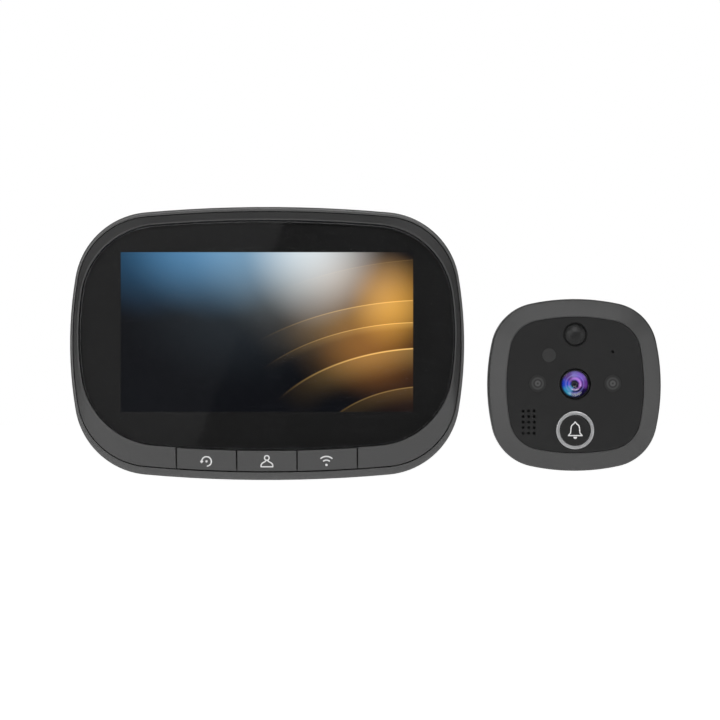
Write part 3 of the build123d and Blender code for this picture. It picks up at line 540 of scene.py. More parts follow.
@dataclass(frozen=True)
class DrawnMetal(Finish):
    """Metal with the fine lines of rolling, brushing or turning."""

    colour: Colour
    roughness: float = 0.32
    stretch: Triple = (60.0, 4000.0, 4000.0)
    depth: float = 0.000004
    metallic: float = 1.0
    wear: float = 0.25
    wear_width: float = 0.00025
    worn_gain: float = 1.35
    worn_lift: float = 0.03

    @cache
    def material(self) -> Material:
        """Builds the finish.

        Returns:
            The material.
        """
        tree = Surface(self.name)
        lines = tree.use(
            drawn_lines, Vector=tree.place, Stretch=self.stretch, Base=self.colour,
            Roughness=self.roughness,
        )
        edges = tree.wear(self.wear_width, self.wear)
        bare = [channel * self.worn_gain + self.worn_lift for channel in self.colour]
        worn = tuple(min(1.0, channel) for channel in bare)
        return tree.finish(
            Base_Color=tree.blend(edges, lines["Colour"], worn), Metallic=self.metallic,
            Roughness=lines["Roughness"], Normal=tree.bump(lines["Height"], self.depth),
        )


@dataclass(frozen=True)
class ClearSheet(Finish):
    """Clear sheet bonded to what is behind it, which carries its gloss.

    Its dust shows, and its matt edge between two depths along Y.
    """

    smears: float = 0.20
    edge_from: float = 1.0
    edge_to: float = 2.0
    edge_ramp: float = 0.00003
    colour: Colour = even(0.02)
    dusty: Colour = (0.30, 0.30, 0.31)
    edge_colour: Colour = (0.010, 0.010, 0.011)
    roughness: Point = (0.35, 0.60)
    opacity: float = 0.004
    dust_opacity: float = 0.05
    edge_opacity: float = 0.45

    @cache
    def material(self) -> Material:
        """Builds the finish as a faint cover that lets nearly all the light through.

        Returns:
            The material.
        """
        tree = Surface(self.name)
        dust = tree.dust(self.smears)
        edge = tree.band(
            tree.add("SeparateXYZ", tree.place).outputs["Y"],
            (self.edge_from, self.edge_from + self.edge_ramp),
            (self.edge_to, self.edge_to - self.edge_ramp),
        )
        marks = tree.math("MULTIPLY_ADD", dust, self.dust_opacity, self.opacity)
        colour = tree.blend(dust, self.colour, self.dusty)
        return tree.finish(
            Base_Color=tree.blend(edge, colour, self.edge_colour),
            Roughness=tree.ramp(dust, 0.0, 1.0, *self.roughness),
            Alpha=tree.math("MULTIPLY_ADD", edge, self.edge_opacity, marks, clamp=True),
        )


@dataclass(frozen=True)
class Glow:
    """One oval glow, with its centre and reach as shares of the picture."""

    centre: Point
    reach: Point
    colour: Colour


@dataclass(frozen=True)
class Ripple:
    """One curved line of light of the picture."""

    centre: Point
    radius: float
    line: float
    skirt: float
    strength: float


@dataclass(frozen=True)
class ScreenPicture(Finish):
    """Generic lit picture: cool light above, a warm glow at the right, and rings from a corner."""

    ground: Colour = tint(1, 3, 5)
    panel: Colour = (0.004, 0.004, 0.005)
    aspect: float = 95.0 / 51.9
    ring_share: float = 0.62
    glows: tuple[Glow, ...] = (
        Glow((0.10, 1.06), (0.32, 0.52), tint(36, 78, 110)),
        Glow((0.32, 1.10), (0.34, 0.56), tint(84, 130, 166)),
        Glow((0.47, 1.04), (0.26, 0.54), tint(92, 112, 124)),
        Glow((0.40, 0.74), (0.46, 0.66), tint(34, 40, 44)),
        Glow((0.66, 1.10), (0.26, 0.62), tint(214, 222, 226)),
        Glow((0.60, 0.78), (0.26, 0.52), tint(70, 66, 60)),
        Glow((0.78, 0.62), (0.26, 0.58), tint(104, 78, 44)),
        Glow((0.93, 0.68), (0.17, 0.34), tint(196, 142, 56)),
        Glow((0.82, 0.84), (0.22, 0.30), tint(96, 84, 74)),
        Glow((0.86, 0.40), (0.22, 0.34), tint(120, 74, 24)),
        Glow((0.97, 0.16), (0.22, 0.26), tint(46, 26, 10)),
    )
    ripples: tuple[Ripple, ...] = (
        Ripple((1.06, -0.30), 0.46, 0.005, 0.12, 0.45),
        Ripple((1.06, -0.30), 0.70, 0.007, 0.18, 0.85),
        Ripple((1.03, -0.24), 0.80, 0.004, 0.05, 0.55),
        Ripple((1.06, -0.30), 1.00, 0.005, 0.22, 0.50),
        Ripple((1.12, -0.20), 1.16, 0.003, 0.12, 0.20),
    )
    ripple_glow: Glow = Glow((0.95, 0.52), (0.50, 0.85), tint(255, 206, 120))
    skirt_share: float = 0.22
    roughness: float = 0.03
    gloss: float = 0.22

    @cache
    def material(self) -> Material:
        """Builds the picture as light from a dark panel.

        Returns:
            The material.
        """
        tree = Surface(self.name)
        place = tree.add("UVMap").outputs[0]

        def mask(glow: Glow) -> Socket:
            """The mask of one glow."""
            reach = (*glow.reach, 1.0)
            return tree.use(soft_glow, Place=place, Centre=(*glow.centre, 0.0), Reach=reach)[0]

        lights = [(mask(glow), glow.colour) for glow in self.glows]
        fade = mask(self.ripple_glow)
        for ripple in self.ripples:
            ring = tree.use(
                thin_ring, Place=place, Centre=(*ripple.centre, 0.0),
                Stretch=(self.aspect * self.ring_share, 1.0, 0.0), Radius=ripple.radius,
                Line=ripple.line, Skirt=ripple.skirt,
            )
            shape = tree.math("MULTIPLY_ADD", ring["Skirt"], self.skirt_share, ring["Line"])
            level = tree.math("MULTIPLY", tree.math("MULTIPLY", shape, ripple.strength), fade)
            lights.append((level, self.ripple_glow.colour))
        total: Value = self.ground
        for level, colour in lights:
            total = tree.vector("ADD", total, tree.vector("SCALE", colour, Scale=level))
        return tree.finish(
            Base_Color=self.panel, Roughness=self.roughness, Specular_IOR_Level=self.gloss,
            Emission_Color=total, Emission_Strength=1.0,
        )


@dataclass(frozen=True)
class LensPaintedReflections(Finish):
    """Lens coating whose colours lie in zones round the lens's axis, painted as its reflections.

    The zones, a bright inner ring and a fainter outer ring are painted reflections and highlights,
    the dark pupil and rim are painted shade, and the colours also glow as painted light, though it
    is no lamp.

    A zone has a direction and a spread, in degrees. Radii are in millimetres.
    """

    centre: Point
    ground: Colour = tint(24, 16, 84)
    # painted reflections: each zone's colour stands for light that the coatings reflect from one
    # direction
    zones: tuple[tuple[float, float, Colour], ...] = (
        (85.0, 75.0, tint(118, 104, 190)),
        (40.0, 50.0, tint(120, 84, 196)),
        (350.0, 52.0, tint(98, 44, 140)),
        (140.0, 44.0, tint(84, 40, 128)),
        (188.0, 50.0, tint(24, 62, 198)),
        (230.0, 46.0, tint(52, 150, 188)),
        (278.0, 40.0, tint(10, 34, 92)),
        (315.0, 34.0, tint(20, 10, 58)),
    )
    # painted highlight: a bright inner ring, strongest towards one direction; painted reflection: a
    # fainter outer ring
    inner_ring: tuple[Point, Point] = ((1.25, 1.8), (2.35, 1.9))
    inner_highlight_colour: Colour = tint(196, 128, 230)
    inner_levels: Point = (0.55, 0.25)
    inner_aim: Point = (35.0, 120.0)
    outer_ring: tuple[Point, Point] = ((2.55, 2.85), (3.25, 2.95))
    outer_reflection_colour: Colour = tint(150, 140, 230)
    outer_level: float = 0.35
    # painted shade: the dark pupil at the middle and the dark rim at the edge
    pupil: Point = (1.50, 0.95)
    pupil_shade_colour: Colour = (0.002, 0.003, 0.012)
    rim: Point = (3.7, 4.45)
    rim_shade_colour: Colour = (0.006, 0.004, 0.022)
    swirl: float = 0.26
    vein_scale: float = 9.0
    vein_range: Point = (0.40, 0.66)
    vein_level: float = 0.15
    vein_colour: Colour = (0.004, 0.003, 0.030)
    body_share: float = 0.25
    roughness: float = 0.12
    gloss: float = 0.4
    # painted light: the coating's colours glow, though it is no lamp
    glow: float = 0.6

    @cache
    def material(self) -> Material:
        """Builds the coating's painted reflections, highlights, shade and glow from the radius and
        direction of each point.

        Returns:
            The material.
        """
        tree = Surface(self.name)
        across, up = tree.away_from(self.centre)
        radius = tree.radius(across, up)
        angle = tree.math("ARCTAN2", up, across)

        def sector(aim: float, spread: float) -> Socket:
            """A soft sector round a direction, in degrees."""
            turn = tree.math("COSINE", tree.math("SUBTRACT", angle, math.radians(aim)))
            return tree.ramp(turn, math.cos(math.radians(spread)), 1.0)

        swirl = tree.math("MULTIPLY_ADD", radius, self.swirl, angle)
        streaks = tree.add(
            "TexNoise", settings={"noise_dimensions": "1D"}, W=swirl, Scale=self.vein_scale,
            Detail=2.0,
        )
        veins = tree.ramp(streaks.outputs[0], *self.vein_range, 0.0, self.vein_level)
        # painted highlight of the inner ring, brighter towards one direction, and painted
        # reflection of the outer ring
        bright = tree.math("MULTIPLY_ADD", sector(*self.inner_aim), *self.inner_levels)
        inner = tree.math("MULTIPLY", tree.band(radius, *self.inner_ring), bright)
        outer = tree.math("MULTIPLY", tree.band(radius, *self.outer_ring), self.outer_level)
        colour: Value = self.ground
        for mask, shade in (
            *[(sector(aim, spread), shade) for aim, spread, shade in self.zones],
            (veins, self.vein_colour),
            (inner, self.inner_highlight_colour),
            (outer, self.outer_reflection_colour),
            (tree.ramp(radius, *self.pupil), self.pupil_shade_colour),
            (tree.ramp(radius, *self.rim), self.rim_shade_colour),
        ):
            colour = tree.blend(mask, colour, shade)
        # the painted colours go into the surface and into a painted glow
        return tree.finish(
            Base_Color=tree.vector("SCALE", colour, Scale=self.body_share),
            Roughness=self.roughness, Specular_IOR_Level=self.gloss, Emission_Color=colour,
            Emission_Strength=self.glow,
        )


# Meshes


def into_mesh(name: str, bm: Shape) -> Mesh:
    """Turns a bmesh into a mesh.

    Args:
        name: The mesh's name.
        bm: The bmesh, which is freed.

    Returns:
        The mesh.
    """
    mesh = bpy.data.meshes.new(name)
    bm.to_mesh(mesh)
    bm.free()
    return mesh


def add_object(name: str, bm: Shape) -> bpy.types.Object:
    """Adds an object to the scene.

    Args:
        name: The object's name.
        bm: Its bmesh, which is freed.

    Returns:
        The object.
    """
    item = bpy.data.objects.new(name, into_mesh(name, bm))
    bpy.context.scene.collection.objects.link(item)
    return item


def shape_piece(
    bm: Shape, name: str, body: Body, slot: Slot, finish: Finish, sharp: float = 30.0,
    stands_for: tuple[str, ...] = (),
) -> bpy.types.Object:
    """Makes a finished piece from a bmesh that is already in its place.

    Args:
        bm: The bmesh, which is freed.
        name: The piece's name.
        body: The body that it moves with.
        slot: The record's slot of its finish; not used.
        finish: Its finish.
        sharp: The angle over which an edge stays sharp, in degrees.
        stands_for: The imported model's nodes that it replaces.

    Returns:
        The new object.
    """
    piece = add_object(name, bm)
    mesh = piece.data
    mesh.shade_smooth()
    mesh.set_sharp_from_angle(angle=math.radians(sharp))
    mesh.materials.append(finish.material())
    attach(piece, body.value)
    if stands_for:
        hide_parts(*stands_for)
    LOG.info("%s: %d faces on %s", name, len(mesh.polygons), body.value)
    return piece


def shade_evenly(mesh: Mesh, sharp: float) -> None:
    """Gives each corner of each face the mean normal of the faces round it that lie nearly its way.

    Args:
        mesh: The mesh.
        sharp: The angle beyond which two faces don't shade together, in degrees.
    """
    limit = math.cos(math.radians(sharp))
    ways = [face.normal.copy() for face in mesh.polygons]
    areas = [face.area for face in mesh.polygons]
    around: list[list[int]] = [[] for _ in mesh.vertices]
    for face in mesh.polygons:
        for vertex in face.vertices:
            around[vertex].append(face.index)
    normals = []
    for face in mesh.polygons:
        own = ways[face.index]
        for vertex in face.vertices:
            near = [other for other in around[vertex] if ways[other].dot(own) > limit]
            total = sum((ways[other] * areas[other] for other in near), Vector())
            normals.append(total.normalized() if near else own)
    mesh.normals_split_custom_set(normals)


def merged(node: str) -> Shape:
    """Copies a node's mesh and joins the corners that lie in one place.

    Args:
        node: The node's name.

    Returns:
        The copy.
    """
    bm = bmesh.new()
    bm.from_mesh(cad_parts[node].data)
    bmesh.ops.remove_doubles(bm, verts=bm.verts, dist=MERGE)
    return bm


def smooth_copy(node: str, body: Body, slot: Slot, finish: Finish, sharp: float = 24.0) -> None:
    """Replaces a node by a merged copy of its own mesh, so that its curves shade smoothly."""
    piece = shape_piece(merged(node), f"{node}_finished", body, slot, finish, sharp, (node,))
    shade_evenly(piece.data, sharp)


def dress(finish: Finish, *nodes: str) -> None:
    """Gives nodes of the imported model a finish.

    Args:
        finish: The finish.
        nodes: The nodes' names.
    """
    for node in nodes:
        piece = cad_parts[node]
        if not piece.data.materials:
            piece.data.materials.append(None)
        piece.material_slots[0].material = finish.material()
        LOG.info("%s: dressed in %s", node, finish.name)


def middle_of(node: str) -> Point:
    """Where the middle of a node lies across and up."""
    low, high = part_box(node)
    return (low.x + high.x) / 2, (low.z + high.z) / 2


def stand_up(bm: Shape, x: float, height: float, z: float) -> Shape:
    """Places a drawing, made in the XY plane and facing +Z, on the front of the object.

    Args:
        bm: The drawing.
        x: Where the drawing's middle goes, from left to right.
        height: How far the drawing's plane stands from the door.
        z: Where the drawing's middle goes, upwards.

    Returns:
        The drawing.
    """
    place = Matrix.Translation((x, -height, z)) @ Matrix.Rotation(math.radians(90), 4, "X")
    bmesh.ops.transform(bm, matrix=place, verts=bm.verts)
    return bm


def turned(profile: Iterable[Point], steps: int = 96, closed: bool = True) -> Shape:
    """Turns a profile about the drawing's Z axis.

    Args:
        profile: Radius and height of each point, in millimetres.
        steps: Divisions round the axis.
        closed: Whether the last point joins the first.

    Returns:
        The turned mesh, in metres.
    """
    bm = bmesh.new()
    points = [bm.verts.new((radius * MM, 0.0, height * MM)) for radius, height in profile]
    pairs = list(zip(points, points[1:]))
    if closed:
        pairs.append((points[-1], points[0]))
    edges = [bm.edges.new(pair) for pair in pairs]
    bmesh.ops.spin(
        bm, geom=points + edges, cent=(0.0, 0.0, 0.0), axis=(0.0, 0.0, 1.0), angle=math.tau,
        steps=steps, use_merge=True,
    )
    bmesh.ops.remove_doubles(bm, verts=bm.verts, dist=MERGE)
    bmesh.ops.recalc_face_normals(bm, faces=bm.faces)
    return bm


def ray(angle: float) -> Vector:
    """The way that an angle points to in a drawing."""
    return Vector((math.cos(angle), math.sin(angle), 0.0))


@dataclass
class Pen:
    """Draws the strokes of an icon as thin raised ink, in millimetres round the icon's middle."""

    width: float
    bm: Shape = field(default_factory=bmesh.new)
    strokes: int = 0
    ink: float = 0.020
    layer: float = 0.004
    end_steps: int = 8
    round_steps: int = 28

    def raise_ink(self, faces: list[bmesh.types.BMFace]) -> "Pen":
        """Gives one flat stroke its thickness, a little more than the stroke before it.

        Args:
            faces: The stroke's faces.

        Returns:
            The pen.
        """
        self.strokes += 1
        height = (self.ink + self.layer * self.strokes) * MM
        grown = bmesh.ops.extrude_face_region(self.bm, geom=faces)["geom"]
        top = [item for item in grown if isinstance(item, bmesh.types.BMVert)]
        bmesh.ops.translate(self.bm, verts=top, vec=(0.0, 0.0, height))
        return self

    def fill(self, rim: list[Vector]) -> "Pen":
        """Fills a flat shape with ink, from the points of its rim."""
        face = self.bm.faces.new([self.bm.verts.new(point * MM) for point in rim])
        return self.raise_ink([face])

    def arc(
        self, centre: Point, radius: float, start: float, end: float, steps: int = 28
    ) -> "Pen":
        """Draws an arc.

        Args:
            centre: The arc's centre.
            radius: The radius of its middle line.
            start: The first angle, in degrees.
            end: The last angle, in degrees.
            steps: Divisions along the arc.

        Returns:
            The pen.
        """
        middle = Vector((*centre, 0.0))
        way = ray(math.radians(start))
        reaches = (radius - self.width / 2, radius + self.width / 2)
        ends = [self.bm.verts.new((middle + way * reach) * MM) for reach in reaches]
        before = set(self.bm.faces)
        bmesh.ops.spin(
            self.bm, geom=[*ends, self.bm.edges.new(ends)], cent=middle * MM, axis=(0.0, 0.0, 1.0),
            angle=math.radians(end - start), steps=steps, use_merge=abs(end - start) >= 360,
        )
        return self.raise_ink([face for face in self.bm.faces if face not in before])

    def line(self, first: Point, last: Point) -> "Pen":
        """Draws a straight stroke with round ends.

        Args:
            first: Its first end.
            last: Its last end.

        Returns:
            The pen.
        """
        start, end = Vector((*first, 0.0)), Vector((*last, 0.0))
        along = end - start
        side = math.atan2(along.y, along.x) + math.pi / 2
        steps = [math.pi * step / self.end_steps for step in range(self.end_steps + 1)]
        near = [start + ray(side + turn) * self.width / 2 for turn in steps]
        far = [end + ray(side + math.pi + turn) * self.width / 2 for turn in steps]
        return self.fill(near + far)

    def path(self, *points: Point) -> "Pen":
        """Draws straight strokes through points.

        Args:
            points: The points.

        Returns:
            The pen.
        """
        for first, last in zip(points, points[1:]):
            self.line(first, last)
        return self

    def patch(self, *points: Point) -> "Pen":
        """Fills a flat shape with straight sides."""
        return self.fill([Vector((*point, 0.0)) for point in points])

    def dot(self, centre: Point, radius: float) -> "Pen":
        """Draws a filled dot."""
        turns = [math.tau * step / self.round_steps for step in range(self.round_steps)]
        return self.fill([Vector((*centre, 0.0)) + ray(turn) * radius for turn in turns])

    def settle(self, node: str, x: float, z: float) -> Shape:
        """Lays the drawing on the front of a node.

        Args:
            node: The node's name.
            x: Where the icon's middle goes, from left to right.
            z: Where the icon's middle goes, upwards.

        Returns:
            The icon's mesh in place.
        """
        under = merged(node)
        front = BVHTree.FromBMesh(under)
        under.free()
        bmesh.ops.recalc_face_normals(self.bm, faces=self.bm.faces)
        bmesh.ops.triangulate(self.bm, faces=self.bm.faces)
        for vert in self.bm.verts:
            across, up, ink = vert.co
            hit = front.ray_cast((x + across, -1.0, z + up), (0.0, 1.0, 0.0))[0]
            if hit is None:
                raise ValueError(f"{node} does not reach under the whole of its mark")
            vert.co = (x + across, hit.y - ink + self.ink * MM / 2, z + up)
        return self.bm


# Sub-assemblies


@dataclass
class Fixings:
    """Screws with crossed drives, shown at the back."""

    steel: Finish
    slot_shares: Triple = (1.0, 0.275, 0.8)
    slot_taper: Triple = (0.35, 0.5, 1.0)
    drive_share: float = 1.15
    head_shares: tuple[Point, ...] = (ORIGIN, (0.72, 0.0), (0.93, 0.22), (1.0, 0.55), (1.0, 1.0))
    tip_share: float = 0.2
    first_turn: float = 25.0
    next_turn: float = 40.0

    def crossed(self, bm: Shape, size: float) -> Shape:
        """Cuts a crossed drive into a screw's head.

        Args:
            bm: The screw.
            size: Length of the cross, in millimetres.

        Returns:
            The cut screw.
        """
        cutter = bmesh.new()
        for turn in (0, 90):
            part = bmesh.ops.create_cube(cutter, size=MM)["verts"]
            bmesh.ops.scale(cutter, vec=Vector(self.slot_shares) * size, verts=part)
            low = [vert for vert in part if vert.co.z < 0]
            bmesh.ops.scale(cutter, vec=self.slot_taper, verts=low)
            spin = Matrix.Rotation(math.radians(turn), 3, "Z")
            bmesh.ops.rotate(cutter, verts=part, cent=(0, 0, 0), matrix=spin)
        holder, tool = add_object("screw_blank", bm), add_object("screw_cutter", cutter)
        cut = holder.modifiers.new("drive", "BOOLEAN")
        cut.operation = "DIFFERENCE"
        cut.solver = "EXACT"
        cut.use_self = True
        cut.object = tool
        seen = holder.evaluated_get(bpy.context.evaluated_depsgraph_get())
        result = bmesh.new()
        result.from_mesh(seen.to_mesh())
        seen.to_mesh_clear()
        for item in (holder, tool):
            bpy.data.objects.remove(item)
        return result

    def at_corners(self, node: str, body: Body, radius: float, head: float, shank: float) -> None:
        """Replaces four screws, seen from behind, by detailed ones in the same places.

        Args:
            node: The node that holds the four screws.
            body: The body that they ride on.
            radius: Radius of a head, in millimetres.
            head: Height of a head.
            shank: Radius of a shank.
        """
        low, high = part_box(node)
        end = (low.y - high.y) / MM
        top = [(radius * out, -head * down) for out, down in self.head_shares]
        tip = [(shank, -head), (shank, end + shank), (shank * self.tip_share, end), (0.0, end)]
        blank = turned([*top, *tip], steps=48, closed=False)
        single = into_mesh("one_screw", self.crossed(blank, radius * self.drive_share))
        middle, reach = (low + high) / 2, (high - low) / 2
        group = bmesh.new()
        for index, (right, above) in enumerate(((-1, -1), (-1, 1), (1, -1), (1, 1))):
            before = len(group.verts)
            group.from_mesh(single)
            group.verts.ensure_lookup_table()
            angle = math.radians(self.first_turn + self.next_turn * index)
            x = middle.x + right * (reach.x - radius * MM)
            z = middle.z + above * (reach.z - radius * MM)
            stand = Matrix.Translation((x, high.y, z)) @ Matrix.Rotation(-math.pi / 2, 4, "X")
            place = stand @ Matrix.Rotation(angle, 4, "Z")
            bmesh.ops.transform(group, matrix=place, verts=group.verts[before:])
        bpy.data.meshes.remove(single)
        shape_piece(group, f"{node}_detailed", body, Slot.SCREW, self.steel, 35.0, (node,))


@dataclass
class Monitor:
    """The indoor monitor: case, bezel, window, picture and what is behind them."""

    case: Finish
    bezel: Finish
    glass: Finish
    film: Finish
    picture: Finish
    picture_width: float = 0.0950
    picture_height: float = 0.0519
    picture_gap: float = 0.00003
    film_gap: float = 0.00002

    def build(self) -> None:
        """Builds the monitor's shown surfaces."""
        smooth_copy("rear_housing", Body.MONITOR, Slot.CASE, self.case, 38.0)
        smooth_copy("front_bezel", Body.MONITOR, Slot.BEZEL, self.bezel)
        smooth_copy("screen_window", Body.MONITOR, Slot.SCREEN, self.glass)
        self.lay_film()
        self.lay_picture()

    def lay_film(self) -> None:
        """Copies the printed film, with its face just clear of the plate's."""
        node = "screen_mask"
        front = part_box(node)[0].y
        bm = merged(node)
        face = [vert for vert in bm.verts if abs(vert.co.y - front) < MERGE]
        bmesh.ops.translate(bm, verts=face, vec=(0.0, self.film_gap, 0.0))
        shape_piece(bm, f"{node}_finished", Body.MONITOR, Slot.FILM, self.film, 30.0, (node,))

    def lay_picture(self) -> None:
        """Lays the lit picture on the display, inside the printed film's opening."""
        bm = bmesh.new()
        bm.loops.layers.uv.new("UVMap")
        bmesh.ops.create_grid(bm, x_segments=24, y_segments=14, size=0.5, calc_uvs=True)
        bmesh.ops.scale(bm, vec=(self.picture_width, self.picture_height, 1.0), verts=bm.verts)
        x, z = middle_of("lcd_module")
        stand_up(bm, x, self.picture_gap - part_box("lcd_module")[0].y, z)
        shape_piece(bm, "lit_picture", Body.MONITOR, Slot.DISPLAY, self.picture)


@dataclass
class FrontKeys:
    """The three keys below the picture, and the icon printed on each."""

    plastic: Finish
    ink: Finish
    stroke: float = 0.42
    icon_rise: float = -0.00015
    foot: Point = (-0.25, -1.15)

    def build(self) -> None:
        """Builds the keys and their icons, which are centred on one line."""
        z = middle_of("call_key")[1] + self.icon_rise
        for node, body, draw in (
            ("replay_key", Body.REPLAY, self.replay_icon),
            ("call_key", Body.CALL, self.person_icon),
            ("wireless_key", Body.WIRELESS, self.wireless_icon),
        ):
            smooth_copy(node, body, Slot.BEZEL, self.plastic)
            icon = draw().settle(node, middle_of(node)[0], z)
            shape_piece(icon, f"{node}_icon", body, Slot.STUD, self.ink, 40.0)

    def replay_icon(self) -> Pen:
        """An open turning arrow round a dot."""
        head = ((-2.18, 0.10), (-1.56, 0.34), (-0.98, 0.06), (-1.62, -0.66))
        return Pen(self.stroke).arc(ORIGIN, 1.56, 172.0, -88.0).patch(*head).dot(ORIGIN, 0.36)

    def person_icon(self) -> Pen:
        """An outlined head above outlined shoulders.

        Returns:
            The pen that drew it.
        """
        pen = Pen(self.stroke * 0.92).arc((0.0, 1.16), 0.76, 0.0, 360.0)
        shoulder = ((0.30, 0.40), (0.42, 0.06), (1.56, -0.62), (1.88, -1.10), (1.92, -1.74))
        for side in (-1, 1):
            pen.path(*[(side * x, y) for x, y in shoulder])
        return pen.line((-1.92, -1.76), (1.92, -1.76))

    def wireless_icon(self) -> Pen:
        """Two arcs over a dot."""
        upper = Pen(self.stroke * 1.05).arc(self.foot, 2.80, 47.0, 133.0)
        return upper.arc(self.foot, 1.58, 47.0, 133.0, 20).dot(self.foot, 0.40)


@dataclass
class MotionDome:
    """The motion sensor's dome, moulded in small facets, and its collar, in millimetres."""

    finish: Finish
    flange_width: float = 0.65
    flange_height: float = 0.7
    groove_width: float = 0.65
    groove_depth: float = 0.9
    dome_rise: float = 1.1
    facet_edge: float = 0.06
    facet_depth: float = 0.03
    wall: float = 0.5
    slope: float = 0.10
    lip: float = 0.12
    gap: float = 0.02

    def build(self) -> None:
        """Builds the dome and the collar as one piece."""
        low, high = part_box("pir_lens")
        x, z = middle_of("pir_lens")
        front, back = -low.y / MM, -high.y / MM
        flange = (high.x - low.x) / 2 / MM
        opening = flange - self.flange_width
        radius = opening - self.groove_width
        ball = (radius**2 + self.dome_rise**2) / (2 * self.dome_rise)
        bm = bmesh.new()
        bmesh.ops.create_icosphere(bm, subdivisions=4, radius=ball * MM)
        every = [*bm.verts, *bm.edges, *bm.faces]
        foot, down = Vector((0.0, 0.0, (ball - self.dome_rise) * MM)), Vector((0.0, 0.0, -1.0))
        bmesh.ops.bisect_plane(bm, geom=every, plane_co=foot, plane_no=down, clear_outer=True)
        edge, depth = self.facet_edge * MM, -self.facet_depth * MM
        bmesh.ops.inset_individual(bm, faces=bm.faces, thickness=edge, depth=depth)
        bmesh.ops.translate(bm, verts=bm.verts, vec=(0.0, 0.0, (front - ball) * MM))
        top, shelf = front - self.dome_rise, back + self.flange_height
        lip, inner = opening - self.slope - self.lip, radius - self.wall
        floor = top - self.groove_depth
        flange_points = [(opening, back), (flange, back), (flange, shelf), (opening, shelf)]
        lip_points = [(opening, top - self.slope), (opening - self.slope, top), (lip, top)]
        groove = [(lip - self.slope, floor), (radius + self.gap, floor), (radius, top)]
        bore = [(inner, top - self.slope), (inner, back)]
        section = [*flange_points, *lip_points, *groove, *bore]
        collar = into_mesh("collar", turned(section, steps=72))
        bm.from_mesh(collar)
        bpy.data.meshes.remove(collar)
        stand_up(bm, x, 0.0, z)
        shape_piece(bm, "pir_lens_facets", Body.FIXED, Slot.PIR, self.finish, 12.0, ("pir_lens",))


@dataclass
class OutdoorUnit:
    """The outdoor camera's housing, face and windows."""

    housing: Finish
    face: Finish
    tinted: Finish

    def build(self) -> None:
        """Builds the unit's shown surfaces."""
        smooth_copy("camera_housing", Body.FIXED, Slot.CAMERA, self.housing)
        smooth_copy("camera_face", Body.FIXED, Slot.FACE, self.face)
        smooth_copy("camera_back_cover", Body.FIXED, Slot.CASE, self.housing, 12.0)
        dress(self.tinted, "light_window")
        low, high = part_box("lamp_windows")
        reach = (high.x - low.x) / 2 - (high.z - low.z) / 2
        # the lamps behind the smoked windows are painted on them, with painted highlights
        dress(LampWindow("lamp_window_painted_highlights", reach, middle_of("lamp_windows")), "lamp_windows")


@dataclass
class Lens:
    """The camera's lens: a stepped barrel, an inner element whose coatings are painted with
    reflections, highlights, shade and glow, and a clear front glass.

    Sizes are in millimetres.
    """

    barrel: Finish
    # the inner element's finish, with painted reflections, highlights, shade and glow
    coated: Finish
    glass: Finish
    seat_depth: float = 1.2
    glass_gap: float = 0.03
    seat_gap: float = 0.02
    ledge: float = 0.25
    step_width: float = 0.42
    step_height: float = 0.28
    step_slope: float = 0.02
    last_step: float = 2.5
    neck: float = 3.5
    collar_height: float = 3.6
    edge: float = 0.12
    bore: float = 1.7
    drawn_radius: float = 4.23
    bowl: tuple[Point, ...] = (
        (4.18, -0.05), (4.05, -0.07), (3.80, -0.12), (3.50, -0.20), (3.20, -0.30), (2.95, -0.39),
        (2.75, -0.46), (2.60, -0.49), (2.48, -0.46), (2.38, -0.38), (2.26, -0.33), (2.12, -0.32),
        (2.00, -0.35), (1.88, -0.42), (1.70, -0.51), (1.48, -0.58), (1.25, -0.62), (1.08, -0.68),
        (0.98, -0.80), (0.88, -0.92), (0.70, -1.02), (0.45, -1.08), (0.20, -1.11), (0.0, -1.12),
    )

    def build(self) -> None:
        """Builds the barrel, the bowl of the inner element, and the glass."""
        low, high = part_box("lens_barrel")
        x, z = middle_of("lens_barrel")
        front, back = -low.y / MM, -high.y / MM
        seat = front - self.seat_depth
        glass_low, glass_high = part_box("lens_glass")
        glass = (glass_high.x - glass_low.x) / 2 / MM + self.glass_gap
        outer = (high.x - low.x) / 2 / MM
        collar = front - self.collar_height
        step, height = glass - self.ledge, seat - self.seat_gap
        front_points = [(outer, front - self.edge), (outer - self.edge, front), (glass, front)]
        section = [(self.neck, back), (self.neck, collar), (outer, collar), *front_points]
        section.append((glass, height))
        while step > self.last_step:
            section += [(step, height), (step - self.step_slope, height - self.step_height)]
            step, height = step - self.step_width, height - self.step_height
        section += [(self.bore, height), (self.bore, back)]
        bm = stand_up(turned(section), x, 0.0, z)
        name, node = "lens_barrel_stepped", "lens_barrel"
        shape_piece(bm, name, Body.FIXED, Slot.LENS_METAL, self.barrel, 25.0, (node,))
        spread = glass / self.drawn_radius
        bowl = [(radius * spread, seat + height) for radius, height in self.bowl]
        bm = stand_up(turned(bowl, steps=128, closed=False), x, 0.0, z)
        shape_piece(bm, "lens_inner_element", Body.FIXED, Slot.LENS_GLASS, self.coated, 60.0)
        smooth_copy("lens_glass", Body.FIXED, Slot.LENS_GLASS, self.glass, 40.0)


